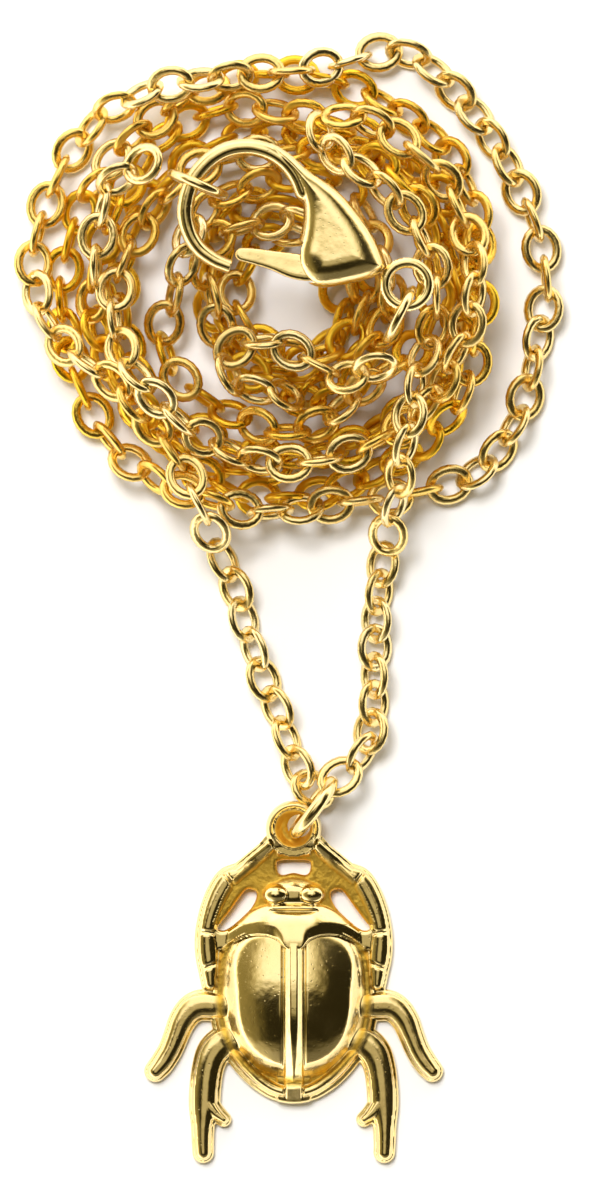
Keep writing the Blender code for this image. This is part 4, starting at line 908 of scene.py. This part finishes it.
def chain_tree():
    """Geometry Nodes tree that sets an oval link of filed wire on every station of a run."""
    tree = bpy.data.node_groups.new("cable_chain", "GeometryNodeTree")
    group_input(tree, "Stations", "NodeSocketGeometry")
    sizes = {"Length": LINK_LENGTH * MM, "Width": LINK_WIDTH * MM, "Wire": LINK_WIRE * MM,
             "Flat": LINK_FLAT * MM, "Wobble": math.radians(LINK_WOBBLE)}
    for name, value in sizes.items():
        group_input(tree, name, "NodeSocketFloat", value)
    group_input(tree, "Steps", "NodeSocketInt", LINK_STEPS)
    group_input(tree, "Seed", "NodeSocketInt", 7)
    group_input(tree, "Finish", "NodeSocketMaterial")
    tree.interface.new_socket("Links", in_out="OUTPUT", socket_type="NodeSocketGeometry")
    given = tree.nodes.new("NodeGroupInput")
    result = tree.nodes.new("NodeGroupOutput")
    graph = Graph(tree)

    def value(name):
        return Wire(graph, given.outputs[name])

    oval = graph.add("GeometryNodeCurvePrimitiveCircle", {},
                     {"Resolution": value("Steps"), "Radius": 1.0})
    reach = graph.add("ShaderNodeCombineXYZ", {},
                      {"X": 0.5 * (value("Length") - value("Wire")),
                       "Y": 0.5 * (value("Width") - value("Wire")), "Z": 1.0})
    oval = graph.add("GeometryNodeTransform", {}, {"Geometry": oval, "Scale": reach})
    oval = graph.add("GeometryNodeSetCurveNormal", {"mode": "Z_UP"}, {"Curve": oval})
    profile = graph.add("GeometryNodeCurvePrimitiveQuadrilateral", {"mode": "RECTANGLE"},
                        {"Width": value("Wire"), "Height": value("Flat")})
    profile = graph.add("GeometryNodeFilletCurve", {"mode": "POLY"},
                        {"Curve": profile, "Count": 1, "Radius": value("Wire") * LINK_CORNER})
    link = graph.add("GeometryNodeCurveToMesh", {}, {"Curve": oval, "Profile Curve": profile})
    turn = graph.add("GeometryNodeInputNamedAttribute", {"data_type": "FLOAT_VECTOR"},
                     {"Name": "turn"})
    spread = graph.add("FunctionNodeRandomValue", {"data_type": "FLOAT_VECTOR"},
                       {0: (-1.0, -1.0, -1.0), 1: (1.0, 1.0, 1.0), "Seed": value("Seed")})
    shake = graph.add("ShaderNodeVectorMath", {"operation": "SCALE"},
                      {0: spread, "Scale": value("Wobble")})
    tone = graph.add("FunctionNodeRandomValue", {"data_type": "FLOAT"},
                     {2: -1.0, 3: 1.0, "Seed": value("Seed")}, 1)
    points = graph.add("GeometryNodeStoreNamedAttribute", {"data_type": "FLOAT", "domain": "POINT"},
                       {"Geometry": value("Stations"), "Name": "tone", "Value": tone})
    heading = graph.add("FunctionNodeEulerToRotation", {}, {"Euler": turn})
    shaken = graph.add("FunctionNodeEulerToRotation", {}, {"Euler": shake})
    heading = graph.add("FunctionNodeRotateRotation", {"rotation_space": "LOCAL"},
                        {"Rotation": heading, "Rotate By": shaken})
    links = graph.add("GeometryNodeInstanceOnPoints", {},
                      {"Points": points, "Instance": link, "Rotation": heading})
    links = graph.add("GeometryNodeRealizeInstances", {}, {"Geometry": links})
    links = graph.add("GeometryNodeSetShadeSmooth", {}, {"Geometry": links})
    links = graph.add("GeometryNodeSetMaterial", {},
                      {"Geometry": links, "Material": value("Finish")})
    tree.links.new(links.output, result.inputs[0])
    return tree


def laid(place, turn):
    """The place of a link, lifted where it would reach below the floor."""
    along, across = turn.col[0].z, turn.col[1].z
    reach = math.hypot(0.5 * (LINK_LENGTH - LINK_WIRE) * along,
                       0.5 * (LINK_WIDTH - LINK_WIRE) * across)
    return place[0], place[1], max(place[2], reach + 0.5 * LINK_WIRE + LAY_GAP)


def crowding(places, others):
    """How closely other chain surrounds each place, from 0 on its own to 1 deep in the heap."""
    gaps = np.linalg.norm(np.array(places)[:, None, :2] - np.array(others)[None, :, :2], axis=2)
    above = np.array(others)[None, :, 2] > np.array(places)[:, None, 2] - 0.5
    near = ((gaps < CROWD_REACH) & above).sum(axis=1)
    return np.clip((near - CROWD_FREE) / CROWD_FULL, 0.0, 1.0)


def make_links(name, places, turns, tree, seed, material, nodes, depth=None):
    """One piece of chain: a link at each place with its own rotation."""
    mesh = bpy.data.meshes.new(name)
    places = [laid(place, turn) for place, turn in zip(places, turns)]
    mesh.from_pydata([tuple(Vector(place) * MM) for place in places], [], [])
    # Crowding fills the recess attribute: painted shade and bounce light on crowded links.
    paint_attribute(mesh, "recess", np.zeros(len(places)) if depth is None else depth)
    layer = mesh.attributes.new("turn", "FLOAT_VECTOR", "POINT")
    layer.data.foreach_set("vector", [angle for turn in turns for angle in turn.to_euler()])
    item = placed(name, mesh, material)
    grow = item.modifiers.new("links", "NODES")
    grow.node_group = tree
    sockets = {socket.name: socket.identifier for socket in tree.interface.items_tree}
    grow[sockets["Seed"]] = seed
    grow[sockets["Finish"]] = material
    applied(item)
    return finished(item, "necklace", "chain_gold", *nodes)


def make_strands(tree, material):
    """The two strands between the heap and the jump ring, link by link where their nodes lie."""
    for side in ("left", "right"):
        nodes = sorted(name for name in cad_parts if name.startswith(f"chain_link_{side}"))
        places = []
        for node in nodes:
            low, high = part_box(node)
            places.append(tuple((low + high) * 0.5 / MM))
        turns = [link_turn(*RING_LINKS[node]) for node in nodes if node in RING_LINKS]
        first = len(turns)
        size, pace = STRAND_TWIST
        turns += run_turns(places[first:], lambda index: size * math.sin(pace * index + first))
        make_links(f"strand_{side}", places, turns, tree, STRAND_SEED, material, nodes)


def spiral(start, turns, inner, squash, drift, wobble, phase):
    """Clockwise coil inward from a start point round the heap's middle, waving as it goes."""
    middle_x, middle_y = HEAP_CENTRE
    offset_x, offset_y = start[0] - middle_x, start[1] - middle_y
    outer = math.hypot(offset_x, offset_y)
    begin = math.atan2(offset_y, offset_x)
    count = int(turns * COIL_STEPS)
    points = []
    for index in range(1, count + 1):
        share = index / count
        angle = begin - 2 * math.pi * turns * share
        radius = outer + (inner - outer) * share
        ease = min(1.0, 4.0 * share, 4.0 * (1.0 - share))
        for size, pace, side in COIL_WAVES:
            radius += ease * size * wobble * math.sin(pace * angle + side * phase)
        centre_x = middle_x + drift[0] * share
        centre_y = middle_y + drift[1] * share
        points.append((centre_x + radius * math.cos(angle),
                       centre_y + radius * (1.0 + (squash - 1.0) * ease) * math.sin(angle)))
    return points


def coiled(route, coils):
    """The route with its coils added to its end."""
    for coil in coils:
        route = route + spiral(route[-1], *coil)
    return route


def heap_heights(plan, strand, order, base):
    """Heights of the stations when each lies on the floor or on what was laid before it."""
    along = np.arange(len(plan))
    gap = np.linalg.norm(plan[:, None, :] - plan[None, :, :], axis=2)
    same = strand[:, None] == strand[None, :]
    length = np.abs(along[:, None] - along[None, :]) * LINK_PITCH
    apart = length > HEAP_FREE_RUN * HEAP_LAYER
    crossing = (gap < HEAP_LAYER) & (order[None, :] < order[:, None]) & (~same | apart)
    lift = np.where(crossing, np.sqrt(np.maximum(HEAP_LAYER ** 2 - gap ** 2, 0.0)), -FAR)
    last = order > LAST_LAID
    pulled = same & (last[:, None] | ~last[None, :])
    run = np.where(pulled, length * HEAP_SLOPE, FAR)
    heights = np.array(base, dtype=float)
    for _ in range(HEAP_SWEEPS):
        needed = np.maximum(heights, (heights[None, :] + lift).max(axis=1))
        heights = (needed[None, :] - run).max(axis=1)
    return heights


def small_ring_drop():
    """How far a ring's middle hangs below the hook that it hangs on."""
    inner = 0.5 * SMALL_RING_DIAMETER - SMALL_RING_WIRE
    return inner - 0.5 * HOOK_THICKNESS - 2 * REST_GAP


def heap_runs(clasp_middle):
    """Stations of both halves of the heap, as x, y, z."""
    routes = (coiled(LEFT_ENTRY + OUTER_TURN, LEFT_COILS) + LEFT_END,
              coiled(RIGHT_ENTRY, RIGHT_COILS) + RIGHT_END)
    halves = [even_points(smooth_curve(route, ROUTE_STEPS), LINK_PITCH) for route in routes]
    tails = [END_STATIONS_LEFT, END_STATIONS_RIGHT]
    order = []
    for layer, (half, tail) in enumerate(zip(halves, tails)):
        turn = ORDER_STEP * layer - np.arange(len(half))
        turn[-tail:] += 2 * LAST_LAID
        order.append(turn)
    split = len(halves[0])
    plan = np.vstack(halves)
    strand = np.array([0] * split + [1] * len(halves[1]))
    base = np.full(len(plan), STRAND_LIFT)
    base[split - 1] = base[-1] = clasp_middle - small_ring_drop() - END_DROP
    heights = heap_heights(plan, strand, np.concatenate(order), base)
    stations = np.column_stack([plan, heights])
    return stations[:split], stations[split:]


def make_heap(tree, material, clasp_middle):
    """Both halves of the heaped chain, with a slow twist along each as it fell."""
    runs = heap_runs(clasp_middle)
    every = np.vstack(runs)
    for run, (side, phase, seed) in zip(runs, HEAP_HALVES):
        places = [tuple(place) for place in run]

        def twist(index, phase=phase):
            return sum(size * math.sin(pace * index + share * phase)
                       for size, pace, share in HEAP_TWISTS)

        turns = run_turns(places, twist)
        make_links(f"heap_{side}", places, turns, tree, seed, material, [f"heap_chain_{side}"],
                   crowding(places, every))


class EvenRelief:
    """A form whose underside mirrors its face."""

    def underside(self, x, y):
        return -self.face(x, y)


class ClaspRelief(EvenRelief):
    """Outline and half thickness of the clasp's hook, body and tail loop."""

    def __init__(self):
        self.hook = smooth_curve(HOOK, ROUTE_STEPS)
        self.body = smooth_curve(CLASP_BODY, ROUTE_STEPS, closed=True)

    def box(self):
        reach = TAIL_LOOP_RADIUS + 0.5 * TAIL_LOOP_WIRE
        return ((self.hook[:, 0] - self.hook[:, 2]).min(), TAIL_LOOP_CENTRE[0] + reach,
                TAIL_LOOP_CENTRE[1] - reach, (self.hook[:, 1] + self.hook[:, 2]).max())

    def loop(self, x, y):
        ring = np.abs(away_from(x, y, TAIL_LOOP_CENTRE) - TAIL_LOOP_RADIUS)
        return ring - 0.5 * TAIL_LOOP_WIRE

    def edge(self, x, y):
        nose_x, nose_y, heading = NOSE
        beyond = (x - nose_x) * math.cos(heading) + (y - nose_y) * math.sin(heading)
        hook = limb_distance(x, y, self.hook)[0]
        hook = np.where(away_from(x, y, NOSE) < NOSE_REACH, np.maximum(hook, beyond), hook)
        metal = np.minimum(hook, outline_distance(x, y, self.body))
        return np.minimum(metal, self.loop(x, y))

    def face(self, x, y):
        across = limb_distance(x, y, self.hook)[1]
        height = 0.5 * HOOK_THICKNESS * round_profile(1.0 - across)
        run_x, run_y = np.subtract(CLASP_HEEL, CLASP_NECK)
        along = (x - CLASP_NECK[0]) * run_x + (y - CLASP_NECK[1]) * run_y
        swell = np.clip(along / (run_x ** 2 + run_y ** 2), 0.0, 1.0)
        shoulder = NECK_SHOULDER + (CLASP_SHOULDER - NECK_SHOULDER) * swell
        top = 0.5 * (HOOK_THICKNESS + (CLASP_THICKNESS - HOOK_THICKNESS) * swell)
        inside = -outline_distance(x, y, self.body) / shoulder
        height = np.maximum(height, top * round_profile(inside))
        ring = -self.loop(x, y) / (0.5 * TAIL_LOOP_WIRE)
        height = np.maximum(height, 0.5 * TAIL_LOOP_WIRE * round_profile(ring))
        return np.maximum(height, CLASP_EDGE)


class LeverRelief(EvenRelief):
    """Outline and half thickness of the clasp's lever, with the bore that it turns on."""

    def __init__(self):
        self.path = smooth_curve(LEVER, LIMB_STEPS)

    def box(self):
        x, y, half = self.path.T
        return (x - half).min(), (x + half).max(), (y - half).min(), (y + half).max()

    def edge(self, x, y):
        bore = PIN_RADIUS + PIN_CLEARANCE - away_from(x, y, PIVOT)
        return np.maximum(limb_distance(x, y, self.path)[0], bore)

    def face(self, x, y):
        across = limb_distance(x, y, self.path)[1]
        edge_y = np.interp(x, self.path[:, 0], self.path[:, 1] - self.path[:, 2])
        rounding = LEVER_EDGE * round_profile(2.0 - 2.0 * across)
        height = 0.5 * LEVER_THICKNESS * (1.0 - LEVER_EDGE + rounding)
        return height - LEVER_TILT * np.clip(y - edge_y, 0.0, LEVER_BREADTH)


class LeverSlot(EvenRelief):
    """Room that the lever sweeps through inside the body, from shut to open."""

    def __init__(self):
        self.path = smooth_curve(LEVER, LIMB_STEPS)

    def box(self):
        reach = np.hypot(self.path[:, 0] - PIVOT[0], self.path[:, 1] - PIVOT[1]) + self.path[:, 2]
        reach = reach.max() + LEVER_CLEARANCE
        return PIVOT[0] - reach, PIVOT[0] + reach, PIVOT[1] - reach, PIVOT[1] + reach

    def edge(self, x, y):
        best = np.full(x.shape, FAR)
        for turn in np.radians(np.linspace(0.0, LEVER_OPENING, SLOT_TURNS)):
            across, along = x - PIVOT[0], y - PIVOT[1]
            back_x = PIVOT[0] + across * math.cos(turn) - along * math.sin(turn)
            back_y = PIVOT[1] + across * math.sin(turn) + along * math.cos(turn)
            best = np.minimum(best, limb_distance(back_x, back_y, self.path)[0])
        return best - LEVER_CLEARANCE

    def face(self, x, y):
        return np.full(x.shape, 0.5 * LEVER_THICKNESS + LEVER_CLEARANCE)


def make_clasp(material, middle):
    """The clasp's cast body with the lever's slot cut through it, and the lever."""
    mesh = relief_mesh("clasp_casting", ClaspRelief(), CLASP_CELL, middle)
    body = placed("clasp_casting", mesh, material)
    mesh = relief_mesh("clasp_slot", LeverSlot(), SLOT_CELL, middle)
    slot = placed("clasp_slot", mesh, material)
    cut = body.modifiers.new("slot", "BOOLEAN")
    cut.operation = "DIFFERENCE"
    cut.object = slot
    applied(body)
    bpy.data.objects.remove(slot)
    finished(body, "necklace", "clasp_gold", "clasp_body")
    mesh = relief_mesh("clasp_latch", LeverRelief(), CLASP_CELL, middle)
    lever = placed("clasp_latch", mesh, material)
    finished(lever, "lever", "clasp_gold", "clasp_lever")


def make_floor():
    """A pale floor just under the object, lit so that it reads near white."""
    size = FLOOR_REACH * MM
    corners = [(-size, -size, 0.0), (size, -size, 0.0), (size, size, 0.0), (-size, size, 0.0)]
    mesh = bpy.data.meshes.new("floor")
    mesh.from_pydata(corners, [], [[0, 1, 2, 3]])
    material = bpy.data.materials.new("pale_floor")
    material.use_nodes = True
    shader = material.node_tree.nodes["Principled BSDF"]
    shader.inputs["Base Color"].default_value = FLOOR_COLOUR
    shader.inputs["Roughness"].default_value = 0.85
    floor = placed("floor", mesh, material)
    floor.location.z = -FLOOR_DROP * MM


def make_light():
    """White walls round the horizon, and a dark ceiling with a soft panel beyond the head."""
    world = bpy.data.worlds.new("studio")
    world.use_nodes = True
    bpy.context.scene.world = world
    graph = Graph(world.node_tree)
    look = graph.add("ShaderNodeTexCoord", {}, {}, "Generated")
    split = world.node_tree.nodes.new("ShaderNodeSeparateXYZ")
    world.node_tree.links.new(look.output, split.inputs[0])
    across_raw, along_raw, up = (Wire(graph, output) for output in split.outputs)
    height = up.math("MAXIMUM", up, LOWEST_SLOPE)
    across, along = across_raw / height, along_raw / height
    off_centre = up.math("ABSOLUTE", across + PANEL_SHIFT)
    panel = along.ramp(*PANEL_NEAR) * (1.0 - along.ramp(*PANEL_FAR))
    panel = panel * (1.0 - off_centre.ramp(*PANEL_SIDES))
    shade = (across_raw - along_raw).ramp(0.1, 0.9)
    beyond = along_raw.ramp(0.2, 0.8)
    wall = 1.0 - up.ramp(0.20 - 0.08 * shade + 0.12 * beyond, 0.50 - 0.24 * shade + 0.20 * beyond)
    rear = (0.0 - along).ramp(*REAR_EDGE)
    left = (0.0 - across).ramp(*LEFT_EDGE)
    overhead = 1.0 - up.math("SQRT", across * across + along * along).ramp(*OVERHEAD_EDGE)
    west = (0.0 - across).ramp(-0.2, 0.6)
    strength = CEILING_LIGHT + PANEL_LIGHT * panel + WALL_LIGHT * wall + OVERHEAD_LIGHT * overhead
    strength = strength + (REAR_LIGHT + REAR_LEFT_LIGHT * west) * rear + LEFT_LIGHT * left
    white = (panel + wall + 0.5 * rear + 0.5 * overhead).clamp()
    colour = graph.mix_colour(white, WARM_WHITE, PLAIN_WHITE)
    background = world.node_tree.nodes["Background"]
    world.node_tree.links.new(colour.output, background.inputs["Color"])
    world.node_tree.links.new(strength.output, background.inputs["Strength"])


def make_softbox():
    """A light over the floor, left out of the metal's reflections."""
    light = bpy.data.lights.new("floor_light", "AREA")
    light.size = SOFTBOX_SIZE * MM
    light.energy = SOFTBOX_LIGHT * math.pi * light.size ** 2
    item = bpy.data.objects.new("floor_light", light)
    bpy.context.collection.objects.link(item)
    item.location = Vector(SOFTBOX_PLACE) * MM
    item.visible_glossy = False


def make_camera():
    """Straight down over the pendant and the heap."""
    camera = bpy.data.cameras.new("camera")
    camera.sensor_fit = "VERTICAL"
    camera.sensor_height = SENSOR
    camera.lens = SENSOR * CAMERA_DISTANCE / VIEW_HEIGHT
    item = bpy.data.objects.new("camera", camera)
    bpy.context.collection.objects.link(item)
    item.location = Vector((*VIEW_CENTRE, CAMERA_DISTANCE)) * MM
    bpy.context.scene.camera = item


# The value after grain sets the painted shade and bounce light in recesses.
scarab_gold = polished_gold("scarab_gold", 0.12, 1.0, 0.50, 0.85, 0.34)
chain_gold = polished_gold("chain_gold", 0.20, 0.5, 0.3, 1.0, 0.06)
clasp_gold = polished_gold("clasp_gold", 0.13, 0.8, 0.4, 0.0, 0.0)
make_camera()
make_scarab(scarab_gold)
small_ring = (0.0, SMALL_RING_DIAMETER, SMALL_RING_WIRE, clasp_gold)
make_ring("jump_ring_wire", "bail_jump_ring", RING_HEADING, RING_LEAN, RING_DIAMETER, RING_WIRE,
          clasp_gold)
make_ring("end_ring_wire", "chain_end_ring", END_RING_HEADING, *small_ring)
make_ring("tail_ring_wire", "clasp_tail_ring", TAIL_RING_HEADING, *small_ring)
lever_low, lever_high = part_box("clasp_lever")
clasp_level = 0.5 * (lever_low.z + lever_high.z) / MM
links_tree = chain_tree()
make_strands(links_tree, chain_gold)
make_heap(links_tree, chain_gold, clasp_level)
make_clasp(clasp_gold, clasp_level)
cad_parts["clasp_pin"].data.materials.clear()
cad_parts["clasp_pin"].data.materials.append(clasp_gold)
make_floor()
make_light()
make_softbox()
bpy.context.scene.view_settings.view_transform = "Standard"
